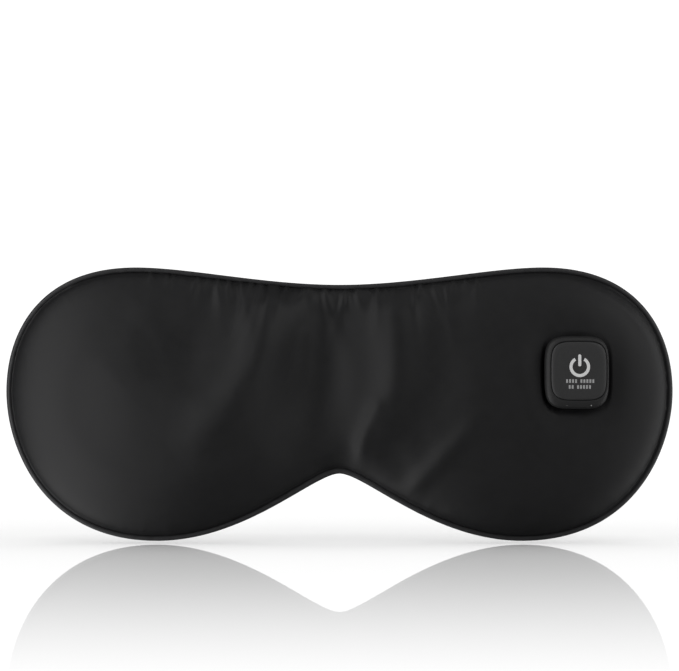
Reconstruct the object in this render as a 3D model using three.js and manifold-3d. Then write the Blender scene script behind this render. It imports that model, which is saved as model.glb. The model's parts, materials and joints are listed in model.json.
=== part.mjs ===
// A padded eye massager mask: a black satin mask with heat, two vibration motors, a press-button
// controller with a charging port, and an adjustable elastic head strap.
// Millimetres, +Z up. The wearer's face is at +Y and the outside of the mask looks along -Y.
// The origin is on the flat middle of the face side, on the mask's plane of symmetry.
import * as THREE from 'three';
import { mergeVertices } from 'three/addons/utils/BufferGeometryUtils.js';
import Module from 'manifold-3d';

const wasm = await Module();
wasm.setup();

// ---------------------------------------------------------------- driving dimensions
const HALF_WIDTH = 115;          // mask centre to its outermost side point, over the piping
const SIDE_Z = 4.3;              // height of that side point
const LOBE_TOP = [70.3, 47.1];   // highest point of each lobe, x and z
const LOBE_BOTTOM = [63, -47.3]; // lowest point of each lobe, x and z
const BROW_Z = 41.1;             // top edge on the centre line
const NOSE_Z = -24.1;            // top of the nose notch
const OUTLINE_POINTS = 52;

const PIPING_RADIUS = 0.95;
const PIPING_LIP = 2.6;          // how far the sewn lip of the piping goes in between the covers
const COVER_INSET = 2.2;         // outline to the cut edge of each cover
const EDGE_ROLL = 20;            // distance over which a cover rises from its edge to full height
const COVER_THICKNESS = 0.8;
const GAP = 0.3;                 // between pieces that touch
const FRONT_EDGE_Y = -8.8;       // outer face of the front cover at its edge
const FRONT_RISE = 9.2;          // and how much further out it is over the lobes
const BACK_EDGE_Y = -6.4;        // outer face of the back cover at its edge
const BACK_RISE = 6.4;
const SEAM_Y = (FRONT_EDGE_Y + BACK_EDGE_Y) / 2;
const BRIDGE_HEIGHT = 0.8;       // front rise over the nose bridge, as a share of the lobes' rise
const BRIDGE_HALF = 50;          // half length over which the bridge swells into the lobes
const FRONT_PADDING = 3.5;
const BACK_PADDING = 3.1;
const FILM_THICKNESS = 0.4;
const FRONT_FACE_Y = FRONT_EDGE_Y - FRONT_RISE;

const CONTROLLER = [81.3, 10.9]; // x and z of the controller's centre
const BUTTON_SHIFT = 0.6;        // how far the button's face sits above that centre
const CONTROLLER_HALF = [11, 12.5];
const NECK_HALF = [8.9, 10.4];
const WALL = 1;
const HOUSING_FRONT = -6.8;      // the controller's y values are from the front cover's face
const BUTTON_FRONT = -7.2;
const SWITCH_Z = 2.1;
const SYMBOL = [0.9, 2.0];
const SYMBOL_RADIUS = 3.0;       // middle of the ring's stroke
const STROKE = 1.05;
const SCREW_AT = [6.0, 7.4];
const USB_SIZE = [8.94, 3.2, 7.3];
const USB_Y = -2.8;

const MOTOR_X = 40;
const MOTOR_Z = 12;
const MOTOR_BACK_Y = -8.3;
const MOTOR_RADIUS = 5;

const STRAP_WIDTH = 25;
const STRAP_THICKNESS = 1.2;
const STRAP_Z = SIDE_Z;          // middle of the strap's width
const STRAP_SIDE_X = 109;        // middle of the strap along the side of the head
const STRAP_BEND = 6;            // bend from the sewn foot into the side
const STRAP_CORNER = 60;         // bend from the side into the back of the head
const STRAP_BACK_Y = 100;
const RING_BARS = [-38, -31];    // x of the ring's two upright bars
const RING_WIRE = 1.1;
const SLIDER_X = 38;             // x of the slider's middle bar, strap drawn tight
const SLIDER_BAR = 0.8;

// ---------------------------------------------------------------- materials
function material(color, roughness, metalness = 0) {
  return new THREE.MeshStandardMaterial({ color, roughness, metalness });
}
const satin = () => material(0x1b1b1d, 0.42);
const wadding = () => material(0xd9d6cf, 0.95);
const blackPlastic = () => material(0x19191b, 0.5);
const steel = () => material(0xb9bcc0, 0.3, 1);
const webbing = () => material(0x161617, 0.85);
const wireSheath = (color) => material(color, 0.55);

// ---------------------------------------------------------------- shape helpers
const object = new THREE.Group();

function add(parent, name, geometry, finish) {
  const mesh = new THREE.Mesh(geometry, finish);
  mesh.name = name;
  parent.add(mesh);
  return mesh;
}

function group(x, y, z) {
  const holder = new THREE.Group();
  holder.position.set(x, y, z);
  object.add(holder);
  return holder;
}

// Six times the signed volume under a geometry's triangles: negative when it is inside out.
function signedVolume(geometry) {
  const at = geometry.attributes.position;
  const index = geometry.index.array;
  const corners = [new THREE.Vector3(), new THREE.Vector3(), new THREE.Vector3()];
  let sum = 0;
  for (let i = 0; i < index.length; i += 3) {
    corners.forEach((corner, k) => corner.fromBufferAttribute(at, index[i + k]));
    sum += corners[0].dot(corners[1].clone().cross(corners[2]));
  }
  return sum;
}

function facingOut(geometry) {
  if (signedVolume(geometry) > 0) return geometry;
  geometry.setIndex(Array.from(geometry.index.array).reverse());
  return geometry;
}

// A skin over rings of points. It closes on itself, or ends in a start point and an end point.
function loft(rings, start = null, end = null) {
  const count = rings[0].length;
  const points = rings.flat();
  const faces = [];
  const lastRing = rings.length - (start ? 1 : 0);
  for (let r = 0; r < lastRing; r += 1) {
    const a = r * count;
    const b = ((r + 1) % rings.length) * count;
    for (let i = 0; i < count; i += 1) {
      const j = (i + 1) % count;
      faces.push(a + i, a + j, b + j, a + i, b + j, b + i);
    }
  }
  if (start) {
    const last = (rings.length - 1) * count;
    points.push(start, end);
    for (let i = 0; i < count; i += 1) {
      const j = (i + 1) % count;
      faces.push(points.length - 2, j, i, points.length - 1, last + i, last + j);
    }
  }
  const geometry = new THREE.BufferGeometry().setFromPoints(points);
  geometry.setIndex(faces);
  return facingOut(geometry);
}

// A flat shape drawn in x and z, thickened from y0 to y1.
function plate(shape, y0, y1, curveSegments = 8) {
  const settings = { depth: y1 - y0, bevelEnabled: false, curveSegments };
  return new THREE.ExtrudeGeometry(shape, settings).rotateX(Math.PI / 2).translate(0, y1, 0);
}

function box(x0, x1, y0, y1, z0, z1) {
  const geometry = new THREE.BoxGeometry(x1 - x0, y1 - y0, z1 - z0);
  return geometry.translate((x0 + x1) / 2, (y0 + y1) / 2, (z0 + z1) / 2);
}

function rod(radius, y0, y1, x = 0, z = 0, sides = 16) {
  return new THREE.CylinderGeometry(radius, radius, y1 - y0, sides).translate(x, (y0 + y1) / 2, z);
}

function solid(geometry) {
  let bare = geometry.clone();
  bare.deleteAttribute('normal');
  bare.deleteAttribute('uv');
  bare = mergeVertices(bare, 1e-4);
  const vertProperties = new Float32Array(bare.attributes.position.array);
  const triVerts = new Uint32Array(bare.index.array);
  return new wasm.Manifold(new wasm.Mesh({ numProp: 3, vertProperties, triVerts }));
}

function toGeometry(manifold) {
  const mesh = manifold.getMesh();
  const geometry = new THREE.BufferGeometry();
  geometry.setAttribute('position', new THREE.BufferAttribute(mesh.vertProperties, 3));
  geometry.setIndex(new THREE.BufferAttribute(mesh.triVerts, 1));
  return geometry;
}

function cut(geometry, ...tools) {
  return toGeometry(tools.reduce((rest, tool) => rest.subtract(solid(tool)), solid(geometry)));
}

function join(geometry, ...others) {
  return toGeometry(others.reduce((whole, other) => whole.add(solid(other)), solid(geometry)));
}

// A round-cornered square, |x/a|^4 + |z/b|^4 = 1, as a ring of points at one height y.
function squircle(halfX, halfZ, y, centreZ = 0, count = 32) {
  return Array.from({ length: count }, (_, i) => {
    const turn = (i / count) * 2 * Math.PI;
    const c = Math.cos(turn);
    const s = Math.sin(turn);
    const x = halfX * Math.sign(c) * Math.sqrt(Math.abs(c));
    const z = halfZ * Math.sign(s) * Math.sqrt(Math.abs(s));
    return new THREE.Vector3(x, y, centreZ + z);
  });
}

function squircleBlock(halfX, halfZ, y0, y1, centreZ = 0) {
  const ends = [new THREE.Vector3(0, y0, centreZ), new THREE.Vector3(0, y1, centreZ)];
  return loft([squircle(halfX, halfZ, y0, centreZ), squircle(halfX, halfZ, y1, centreZ)], ...ends);
}

// An upright slot shape with round ends, in x and z.
function slotShape(width, height, x = 0, z = 0) {
  const r = height / 2;
  const reach = width / 2 - r;
  const shape = new THREE.Shape();
  shape.absarc(x + reach, z, r, -Math.PI / 2, Math.PI / 2, false);
  shape.absarc(x - reach, z, r, Math.PI / 2, 1.5 * Math.PI, false);
  return shape;
}

// ---------------------------------------------------------------- the mask's outline
// Each half is four curves: notch to lobe bottom, to the side, to lobe top, to the brow.
function maskOutline() {
  const shape = new THREE.Shape();
  shape.moveTo(0, NOSE_Z);
  shape.bezierCurveTo(8.8, NOSE_Z, LOBE_BOTTOM[0] - 30.7, LOBE_BOTTOM[1], ...LOBE_BOTTOM);
  shape.bezierCurveTo(LOBE_BOTTOM[0] + 39, LOBE_BOTTOM[1], HALF_WIDTH, SIDE_Z - 20, HALF_WIDTH, SIDE_Z);
  shape.bezierCurveTo(HALF_WIDTH, SIDE_Z + 21, LOBE_TOP[0] + 33, LOBE_TOP[1], ...LOBE_TOP);
  shape.bezierCurveTo(LOBE_TOP[0] - 18.3, LOBE_TOP[1], 26, BROW_Z, 0, BROW_Z);
  shape.bezierCurveTo(-26, BROW_Z, 18.3 - LOBE_TOP[0], LOBE_TOP[1], -LOBE_TOP[0], LOBE_TOP[1]);
  shape.bezierCurveTo(-LOBE_TOP[0] - 33, LOBE_TOP[1], -HALF_WIDTH, SIDE_Z + 21, -HALF_WIDTH, SIDE_Z);
  shape.bezierCurveTo(-HALF_WIDTH, SIDE_Z - 20, -LOBE_BOTTOM[0] - 39, LOBE_BOTTOM[1],
    -LOBE_BOTTOM[0], LOBE_BOTTOM[1]);
  shape.bezierCurveTo(30.7 - LOBE_BOTTOM[0], LOBE_BOTTOM[1], -8.8, NOSE_Z, 0, NOSE_Z);
  return shape.getSpacedPoints(OUTLINE_POINTS).slice(0, -1);
}
const outline = maskOutline();

// Unit vectors at right angles to a closed line of points, on its left side.
function leftNormals(points) {
  const count = points.length;
  return points.map((_, i) => {
    const along = points[(i + 1) % count].clone().sub(points[(i + count - 1) % count]);
    return new THREE.Vector2(-along.y, along.x).normalize();
  });
}
const inward = leftNormals(outline);

// Rings of a layer, from its edge in: offsets of the outline, and one ring drawn in half way.
const RING_INSETS = [COVER_INSET, 3.6, 7, 13, 22.5];
const MIDDLE = new THREE.Vector2(0, 5);

function layerRings(firstInset) {
  const insets = RING_INSETS.filter((inset) => inset >= firstInset);
  const rings = insets.map((inset) => ({
    rise: edgeRise(inset),
    points: outline.map((p, i) => p.clone().addScaledVector(inward[i], inset)),
  }));
  const deepest = rings[rings.length - 1].points;
  rings.push({ rise: 1, points: deepest.map((p) => p.clone().lerp(MIDDLE, 0.5)) });
  return rings;
}

// 0 at the cover's edge, rising in a round shoulder to 1 where the padding is full.
function edgeRise(inset) {
  const run = Math.min((inset - COVER_INSET) / EDGE_ROLL, 1);
  return Math.pow(1 - Math.pow(1 - run, 2.2), 0.6);
}

function bridgeShare(x) {
  const t = Math.min(Math.abs(x) / BRIDGE_HALF, 1);
  return BRIDGE_HEIGHT + (1 - BRIDGE_HEIGHT) * t * t * (3 - 2 * t);
}

const frontFace = (x, rise) => FRONT_EDGE_Y - FRONT_RISE * bridgeShare(x) * rise;
const backFace = (x, rise) => BACK_EDGE_Y + BACK_RISE * rise;

// A closed layer of the mask that follows one of its faces, from depth near to depth far.
function layer(firstInset, face, near, far) {
  const rings = layerRings(firstInset);
  const lay = (depth) => rings.map((ring) => ring.points.map(
    (p) => new THREE.Vector3(p.x, face(p.x, ring.rise) + depth, p.y)));
  const pole = (depth) => new THREE.Vector3(MIDDLE.x, face(MIDDLE.x, 1) + depth, MIDDLE.y);
  return loft([...lay(near).reverse(), ...lay(far)], pole(near), pole(far));
}

// A section, as [distance in from the line, y] pairs, carried round a closed line in x and z.
function carryRound(line, normals, section) {
  return loft(line.map((p, i) => section.map(([inset, y]) => new THREE.Vector3(
    p.x + normals[i].x * inset, y, p.y + normals[i].y * inset))));
}

// ---------------------------------------------------------------- covers, piping and padding
const controllerHole = (halfX, halfZ) => squircleBlock(halfX, halfZ, -30, 0)
  .translate(CONTROLLER[0], 0, CONTROLLER[1]);

const frontCover = layer(COVER_INSET, frontFace, 0, COVER_THICKNESS);
add(object, 'front_cover', cut(frontCover, controllerHole(9.3, 10.8)), satin());
add(object, 'back_cover', layer(COVER_INSET, backFace, -COVER_THICKNESS, 0), satin());

function pipingSection() {
  const lipHalf = 0.18;
  const round = Array.from({ length: 6 }, (_, i) => {
    const turn = (0.12 + (i / 5) * 1.76) * Math.PI;
    return [PIPING_RADIUS * (1 + Math.cos(turn)), SEAM_Y + PIPING_RADIUS * Math.sin(turn)];
  });
  const lipEnd = PIPING_RADIUS + PIPING_LIP;
  return [[lipEnd, SEAM_Y + lipHalf], ...round, [lipEnd, SEAM_Y - lipHalf]];
}
add(object, 'edge_piping', carryRound(outline, inward, pipingSection()), satin());

const frontPadding = layer(7, frontFace, COVER_THICKNESS + GAP,
  COVER_THICKNESS + GAP + FRONT_PADDING);
add(object, 'front_padding', cut(frontPadding, controllerHole(15.2, 14.3)), wadding());

const backPaddingNear = -(COVER_THICKNESS + GAP + BACK_PADDING);
add(object, 'back_padding', layer(7, backFace, backPaddingNear, -(COVER_THICKNESS + GAP)), wadding());

const filmFar = backPaddingNear - GAP;
add(object, 'heating_film', layer(13, backFace, filmFar - FILM_THICKNESS, filmFar),
  material(0x26262a, 0.4));
const FILM_FRONT_Y = BACK_EDGE_Y + BACK_RISE + filmFar - FILM_THICKNESS;

// ---------------------------------------------------------------- controller on the front cover
const controller = group(CONTROLLER[0], FRONT_FACE_Y, CONTROLLER[1]);
const screwPlaces = [[1, 1], [-1, 1], [-1, -1], [1, -1]].map(([x, z]) => [x * SCREW_AT[0], z * SCREW_AT[1]]);

function controllerHousing() {
  const [hx, hz] = CONTROLLER_HALF;
  const [nx, nz] = NECK_HALF;
  const rim = BUTTON_SHIFT;
  const shell = loft([
    squircle(nx, nz, 2.2),
    squircle(nx, nz, -GAP),
    squircle(hx - 0.3, hz - 0.3, -GAP),
    squircle(hx, hz, -0.7),
    squircle(hx, hz, -4.2),
    squircle(hx - 0.25, hz - 0.45, -5.5, 0.1),
    squircle(hx - 0.7, hz - 1.2, -6.4, 0.35),
    squircle(9.95, 10.5, HOUSING_FRONT, rim),
    squircle(9.65, 10.15, HOUSING_FRONT, rim),
    squircle(9.65, 10.15, -5.8, rim),
    squircle(10.15, 11.5, -5.8),
    squircle(10.15, 11.5, -1.0),
    squircle(nx - WALL, nz - WALL, -1.0),
    squircle(nx - WALL, nz - WALL, 2.2),
  ]);
  const posts = screwPlaces.map(([x, z]) => rod(1.8, -0.9, 2.2, x, z));
  const port = new THREE.ExtrudeGeometry(slotShape(9.6, 3.8, 0, USB_Y),
    { depth: 5.4, bevelEnabled: false }).translate(0, 0, -13.6);
  const wireWay = box(-9.6, -7.2, 0.9, 2.6, -6.2, 6.2);
  const pilots = screwPlaces.map(([x, z]) => rod(1.0, -0.6, 2.6, x, z, 12));
  return cut(join(shell, ...posts), port, wireWay, ...pilots);
}
add(controller, 'controller_housing', controllerHousing(), blackPlastic());

function buttonCap() {
  const rim = BUTTON_SHIFT;
  const cap = loft([
    squircle(9.85, 10.6, -5.0, 0.45),
    squircle(9.85, 10.6, -5.5, 0.45),
    squircle(9.4, 9.9, -5.5, rim),
    squircle(9.4, 9.9, -6.9, rim),
    squircle(9.1, 9.6, BUTTON_FRONT, rim),
  ], new THREE.Vector3(0, -5.0, 0.45), new THREE.Vector3(0, BUTTON_FRONT, rim));
  return join(cap, rod(1.5, -5.2, -4.2, 0, SWITCH_Z));
}
add(controller, 'button_cap', buttonCap(), blackPlastic());

// The power symbol is an inlay that stands a hair proud of the button's flat face.
function powerRing() {
  const open = 0.17 * Math.PI;
  const shape = new THREE.Shape();
  const [x, z] = SYMBOL;
  shape.absarc(x, z, SYMBOL_RADIUS + STROKE / 2, Math.PI / 2 + open, 2.5 * Math.PI - open, false);
  shape.absarc(x, z, SYMBOL_RADIUS - STROKE / 2, 2.5 * Math.PI - open, Math.PI / 2 + open, true);
  return plate(shape, BUTTON_FRONT - 0.14, BUTTON_FRONT - 0.02, 24);
}
const powerBar = slotShape(4.1, STROKE).getPoints(6).map((p) => new THREE.Vector2(
  SYMBOL[0] - p.y, SYMBOL[1] + 2.2 + p.x));
const print = () => material(0xc9c9c9, 0.45);
add(controller, 'power_symbol_ring', powerRing(), print());
add(controller, 'power_symbol_bar',
  plate(new THREE.Shape(powerBar), BUTTON_FRONT - 0.14, BUTTON_FRONT - 0.02), print());

const board = plate(new THREE.Shape(squircle(7.5, 9.0, 0).map((p) => new THREE.Vector2(p.x, p.z))), -0.9, 0.1);
add(controller, 'circuit_board', cut(board, ...screwPlaces.map(([x, z]) => rod(2.2, -2, 1, x, z))),
  material(0x1f5a3a, 0.5));
add(controller, 'tactile_switch',
  cut(box(-2.6, 2.6, -3.2, -1.2, SWITCH_Z - 2.6, SWITCH_Z + 2.6), rod(1.5, -3.6, -1.8, 0, SWITCH_Z)),
  material(0x2a2a2a, 0.5));
add(controller, 'switch_stem', rod(1.2, -3.9, -2.5, 0, SWITCH_Z), material(0x8f2f2a, 0.5));
add(controller, 'control_chip', box(-2.5, 2.5, 0.4, 1.3, -0.5, 4.5), material(0x151515, 0.4));
add(controller, 'indicator_led', box(-6.3, -4.7, -1.9, -1.2, -1.4, -0.6), material(0xf2f0e4, 0.3));

function usbShell() {
  const [width, height, depth] = USB_SIZE;
  const shape = slotShape(width, height, 0, USB_Y);
  shape.holes.push(slotShape(width - 0.6, height - 0.6, 0, USB_Y));
  return new THREE.ExtrudeGeometry(shape, { depth, bevelEnabled: false, curveSegments: 8 })
    .translate(0, 0, -12.2);
}
add(controller, 'usb_socket_shell', usbShell(), steel());
const usbBlock = new THREE.ExtrudeGeometry(slotShape(7.7, 2.0, 0, USB_Y),
  { depth: 1.2, bevelEnabled: false, curveSegments: 6 }).translate(0, 0, -6.2);
add(controller, 'usb_socket_tongue',
  join(usbBlock, box(-3.3, 3.3, USB_Y - 0.35, USB_Y + 0.35, -11.5, -6.0)), material(0x202022, 0.4));

function innerClampShell() {
  const shell = squircleBlock(11.4, 12.9, 1.3, 3.5);
  const pocket = squircleBlock(9.2, 10.7, 0.5, 2.5);
  const wireWay = box(-13, -8, 0.5, 2.5, -6.2, 6.2);
  const holes = screwPlaces.map(([x, z]) => rod(1.0, 2, 4, x, z, 12));
  return cut(shell, pocket, wireWay, ...holes);
}
add(controller, 'inner_clamp_shell', innerClampShell(), blackPlastic());

function screw() {
  const profile = [[0, 4.6], [1.0, 4.6], [1.4, 4.3], [1.4, 3.8], [0.7, 3.8], [0.7, 0.2], [0, -0.3]];
  return new THREE.LatheGeometry(profile.map(([r, y]) => new THREE.Vector2(r, y)), 12);
}
screwPlaces.forEach(([x, z], i) => {
  const geometry = mergeVertices(screw().deleteAttribute('uv').deleteAttribute('normal'));
  add(controller, `clamp_screw_${i + 1}`, facingOut(geometry).translate(x, 0, z), steel());
});

// ---------------------------------------------------------------- vibration motors
function lathe(profile, sides = 24) {
  const geometry = new THREE.LatheGeometry(profile.map(([r, y]) => new THREE.Vector2(r, y)), sides);
  return facingOut(mergeVertices(geometry.deleteAttribute('uv').deleteAttribute('normal')));
}

// A heavy half disc that hangs below its hub, so that turning it shakes the mask.
function eccentricWeight() {
  const shape = new THREE.Shape();
  shape.absarc(0, 0, 4.2, (-160 / 180) * Math.PI, (-20 / 180) * Math.PI, false);
  shape.absarc(0, 0, 1.4, (-20 / 180) * Math.PI, (200 / 180) * Math.PI, false);
  const bore = new THREE.Path();
  bore.absarc(0, 0, 0.56, 0, 2 * Math.PI, true);
  shape.holes.push(bore);
  return plate(shape, -2.6, -1.0, 12);
}

function vibrationMotor(side, x) {
  const motor = group(x, MOTOR_BACK_Y, MOTOR_Z);
  const r = MOTOR_RADIUS;
  const cup = lathe([[0, 0], [r, 0], [r, -2.9], [r - 0.4, -2.9], [r - 0.4, -0.5], [0, -0.5]]);
  const sleeve = lathe([[5.3, -0.2], [7, -0.2], [7, -3.5], [5.3, -3.5], [5.3, -0.2]]);
  add(motor, `${side}_motor_case`, cup, steel());
  add(motor, `${side}_motor_lid`, rod(r, -3.7, -3.2, 0, 0, 24), steel());
  add(motor, `${side}_motor_shaft`, rod(0.5, -2.9, -0.8), steel());
  add(motor, `${side}_motor_weight`, eccentricWeight(), material(0x8c8a86, 0.35, 1));
  add(motor, `${side}_motor_sleeve`, sleeve, material(0xbfc4c8, 0.8));
}
vibrationMotor('left', -MOTOR_X);
vibrationMotor('right', MOTOR_X);

// ---------------------------------------------------------------- battery, sensors and leads
const BATTERY_Y = -10.35;
add(object, 'battery_cell', box(51, 81, BATTERY_Y - 2.25, BATTERY_Y + 2.25, -24, 0),
  material(0xb4b8bd, 0.35, 0.6));
add(object, 'film_terminal', box(43, 47, FILM_FRONT_Y - 2.3, FILM_FRONT_Y - GAP, 0.5, 4.5),
  material(0xb87333, 0.4, 0.8));
const bead = new THREE.SphereGeometry(0.9, 12, 8).translate(53, FILM_FRONT_Y - 1.4, 15);
add(object, 'temperature_sensor', solidCopy(bead), material(0x1a1a1a, 0.4));
const fuse = new THREE.CylinderGeometry(1.1, 1.1, 7, 14).rotateZ(Math.PI / 2);
add(object, 'thermal_cutoff', fuse.translate(30, FILM_FRONT_Y - 2.0, 24), material(0xcfc9b8, 0.5));

function solidCopy(geometry) {
  return toGeometry(solid(geometry));
}

// Sheathed leads from the controller: x, y and z of the points that each one is clipped along.
const LEAD_RADIUS = 0.55;
function lead(name, spread, color, route) {
  const [cx, cz] = CONTROLLER;
  const z = cz + spread;
  const y = FRONT_FACE_Y + 1.75;
  const exit = [[cx - 6.5, y, z], [cx - 10, y, z], [cx - 12.6, y + 0.35, z], [cx - 13.6, y + 2.2, z]];
  const curve = new THREE.CatmullRomCurve3([...exit, ...route].map((p) => new THREE.Vector3(...p)));
  const section = new THREE.Shape();
  section.absarc(0, 0, LEAD_RADIUS, 0, 2 * Math.PI, false);
  const steps = Math.min(Math.round(curve.getLength() / 2.6), 44);
  const settings = { steps, extrudePath: curve, curveSegments: 4, bevelEnabled: false };
  add(object, name, solidCopy(new THREE.ExtrudeGeometry(section, settings)), wireSheath(color));
}
lead('left_motor_lead', 4.5, 0x2b4f9b,
  [[65, -11.2, 17], [56, -10.4, 22.5], [40, -10, 24.5], [15, -9.8, 22], [-10, -9.8, 20], [-32.4, -10, 13]]);
lead('right_motor_lead', 1.5, 0x9b2b2b, [[65.5, -11.6, 12.6], [58, -10.3, 12.4], [47.5, -10.1, 12.2]]);
lead('heater_lead', -1.5, 0xa8a8a8, [[66, -10.6, 8.6], [60, -7.6, 5.5], [53, -6.2, 3.2], [47.5, -6.1, 2.4]]);
lead('battery_lead', -4.5, 0x202020, [[67, -12.4, 5.6], [66.2, -10.8, 3], [66, -10.4, 0.5]]);

// ---------------------------------------------------------------- head strap
// A band of webbing: its middle line in x and y, given thickness in that plane and width along z.
function ribbon(line, thickness = STRAP_THICKNESS, width = STRAP_WIDTH) {
  const sides = [[], []];
  line.forEach((p, i) => {
    const before = line[Math.max(i - 1, 0)];
    const after = line[Math.min(i + 1, line.length - 1)];
    const along = after.clone().sub(before).normalize();
    const across = new THREE.Vector2(-along.y, along.x).multiplyScalar(thickness / 2);
    sides[0].push(p.clone().add(across));
    sides[1].unshift(p.clone().sub(across));
  });
  const shape = new THREE.Shape([...sides[0], ...sides[1]]);
  const geometry = new THREE.ExtrudeGeometry(shape, { depth: width, bevelEnabled: false });
  return geometry.translate(0, 0, STRAP_Z - width / 2);
}

function arc(x, y, radius, fromDegrees, toDegrees, steps) {
  return Array.from({ length: steps + 1 }, (_, i) => {
    const turn = ((fromDegrees + ((toDegrees - fromDegrees) * i) / steps) / 180) * Math.PI;
    return new THREE.Vector2(x + radius * Math.cos(turn), y + radius * Math.sin(turn));
  });
}

const FOOT_Y = GAP + STRAP_THICKNESS / 2;
const TURN_RADIUS = RING_WIRE + GAP + STRAP_THICKNESS / 2;
const RING_Y = STRAP_BACK_Y - TURN_RADIUS;
const CORNER_X = STRAP_SIDE_X - STRAP_CORNER;
const CORNER_Y = STRAP_BACK_Y - STRAP_CORNER;

// From the foot sewn on the back cover, round the side, to the straight stretch behind the head.
function strapSide() {
  const footEnd = STRAP_SIDE_X - STRAP_BEND;
  return [
    new THREE.Vector2(84, FOOT_Y),
    new THREE.Vector2(94, FOOT_Y),
    ...arc(footEnd, FOOT_Y + STRAP_BEND, STRAP_BEND, -90, 0, 5),
    ...arc(CORNER_X, CORNER_Y, STRAP_CORNER, 0, 90, 12),
  ];
}

const longStrap = [...strapSide(), ...arc(RING_BARS[1], RING_Y, TURN_RADIUS, 90, 270, 8),
  new THREE.Vector2(RING_BARS[1] + 2.2, RING_Y - TURN_RADIUS)];
add(object, 'long_strap', ribbon(longStrap), webbing());

const shortStrap = [...strapSide().map((p) => new THREE.Vector2(-p.x, p.y)),
  ...arc(RING_BARS[0], RING_Y, TURN_RADIUS, 90, -90, 8),
  new THREE.Vector2(RING_BARS[0] - 9, RING_Y - TURN_RADIUS)];
add(object, 'short_strap', ribbon(shortStrap), webbing());

function strapRing() {
  const halfX = (RING_BARS[1] - RING_BARS[0]) / 2;
  const halfZ = STRAP_WIDTH / 2 + 2;
  const corner = 1.8;
  const line = [[1, 1, 0], [-1, 1, 90], [-1, -1, 180], [1, -1, 270]].flatMap(([x, z, from]) => arc(
    x * (halfX - corner), z * (halfZ - corner), corner, from, from + 90, 4));
  const wire = Array.from({ length: 8 }, (_, i) => {
    const turn = (i / 8) * 2 * Math.PI;
    return [RING_WIRE * Math.cos(turn), RING_Y + RING_WIRE * Math.sin(turn)];
  });
  return carryRound(line, leftNormals(line), wire)
    .translate((RING_BARS[0] + RING_BARS[1]) / 2, 0, STRAP_Z);
}
add(object, 'strap_ring', strapRing(), steel());

// The slider: two cheeks beside the strap, two bars outside it and one bar inside it.
const slider = group(SLIDER_X, STRAP_BACK_Y, STRAP_Z);
const OUTER_BARS = [[-6, 1.7], [6, 1.7]];
const MIDDLE_BAR = [0, -3.1];
function strapSlider() {
  const cheekRadius = 1.6;
  const lean = (Math.atan2(6, 4.8) / Math.PI) * 180;
  const cheek = new THREE.Shape([
    ...arc(...OUTER_BARS[0], cheekRadius, 90, 180 + lean, 6),
    ...arc(...MIDDLE_BAR, cheekRadius, 180 + lean, 360 - lean, 5),
    ...arc(...OUTER_BARS[1], cheekRadius, -lean, 90, 6),
  ]);
  const inner = STRAP_WIDTH / 2 + 0.5;
  const thick = 1.6;
  const cheeks = [inner, -inner - thick].map((z) => new THREE.ExtrudeGeometry(cheek,
    { depth: thick, bevelEnabled: false }).translate(0, 0, z));
  const bars = [...OUTER_BARS, MIDDLE_BAR].map(([x, y]) => new THREE.CylinderGeometry(
    SLIDER_BAR, SLIDER_BAR, 2 * inner + 1, 12).rotateX(Math.PI / 2).translate(x, y, 0));
  return join(cheeks[0], cheeks[1], ...bars);
}
add(slider, 'strap_slider', strapSlider(), blackPlastic());

// The strap's end is sewn round the slider's middle bar and travels with it.
const LOOP_RADIUS = SLIDER_BAR + 0.2 + STRAP_THICKNESS / 2;
const LOOP_TAIL = 9;
const loopX = SLIDER_X + MIDDLE_BAR[0];
const loopY = STRAP_BACK_Y + MIDDLE_BAR[1];
const endLoop = [
  new THREE.Vector2(loopX - LOOP_TAIL, loopY - LOOP_RADIUS),
  ...arc(loopX, loopY, LOOP_RADIUS, -90, 90, 10),
  new THREE.Vector2(loopX - 3, loopY + 1.2),
  new THREE.Vector2(loopX - 7.5, loopY),
];
add(object, 'strap_end_loop', ribbon(endLoop), webbing());

// The doubled layer between the ring and the slider, which shortens as the slider travels.
const returnLayer = [
  new THREE.Vector2(RING_BARS[1] + 2.5, RING_Y - TURN_RADIUS),
  new THREE.Vector2(loopX - LOOP_TAIL - GAP, loopY - LOOP_RADIUS),
];
add(object, 'strap_return_layer', ribbon(returnLayer), webbing());

export default object;
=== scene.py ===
# %% [markdown]
# # A padded eye massager mask
# A black satin mask with heat and two small vibration motors inside, a press-button controller
# on its right-hand lobe, and an elastic strap that goes round the head. The working parts come
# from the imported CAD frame; this notebook makes the surfaces that are seen and touched: satin,
# piping, wadding, webbing, thread, moulded plastic. Everything is in metres, in the frame's own
# axes: +X towards the controller's lobe, +Y towards the wearer's face, +Z up.

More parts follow.
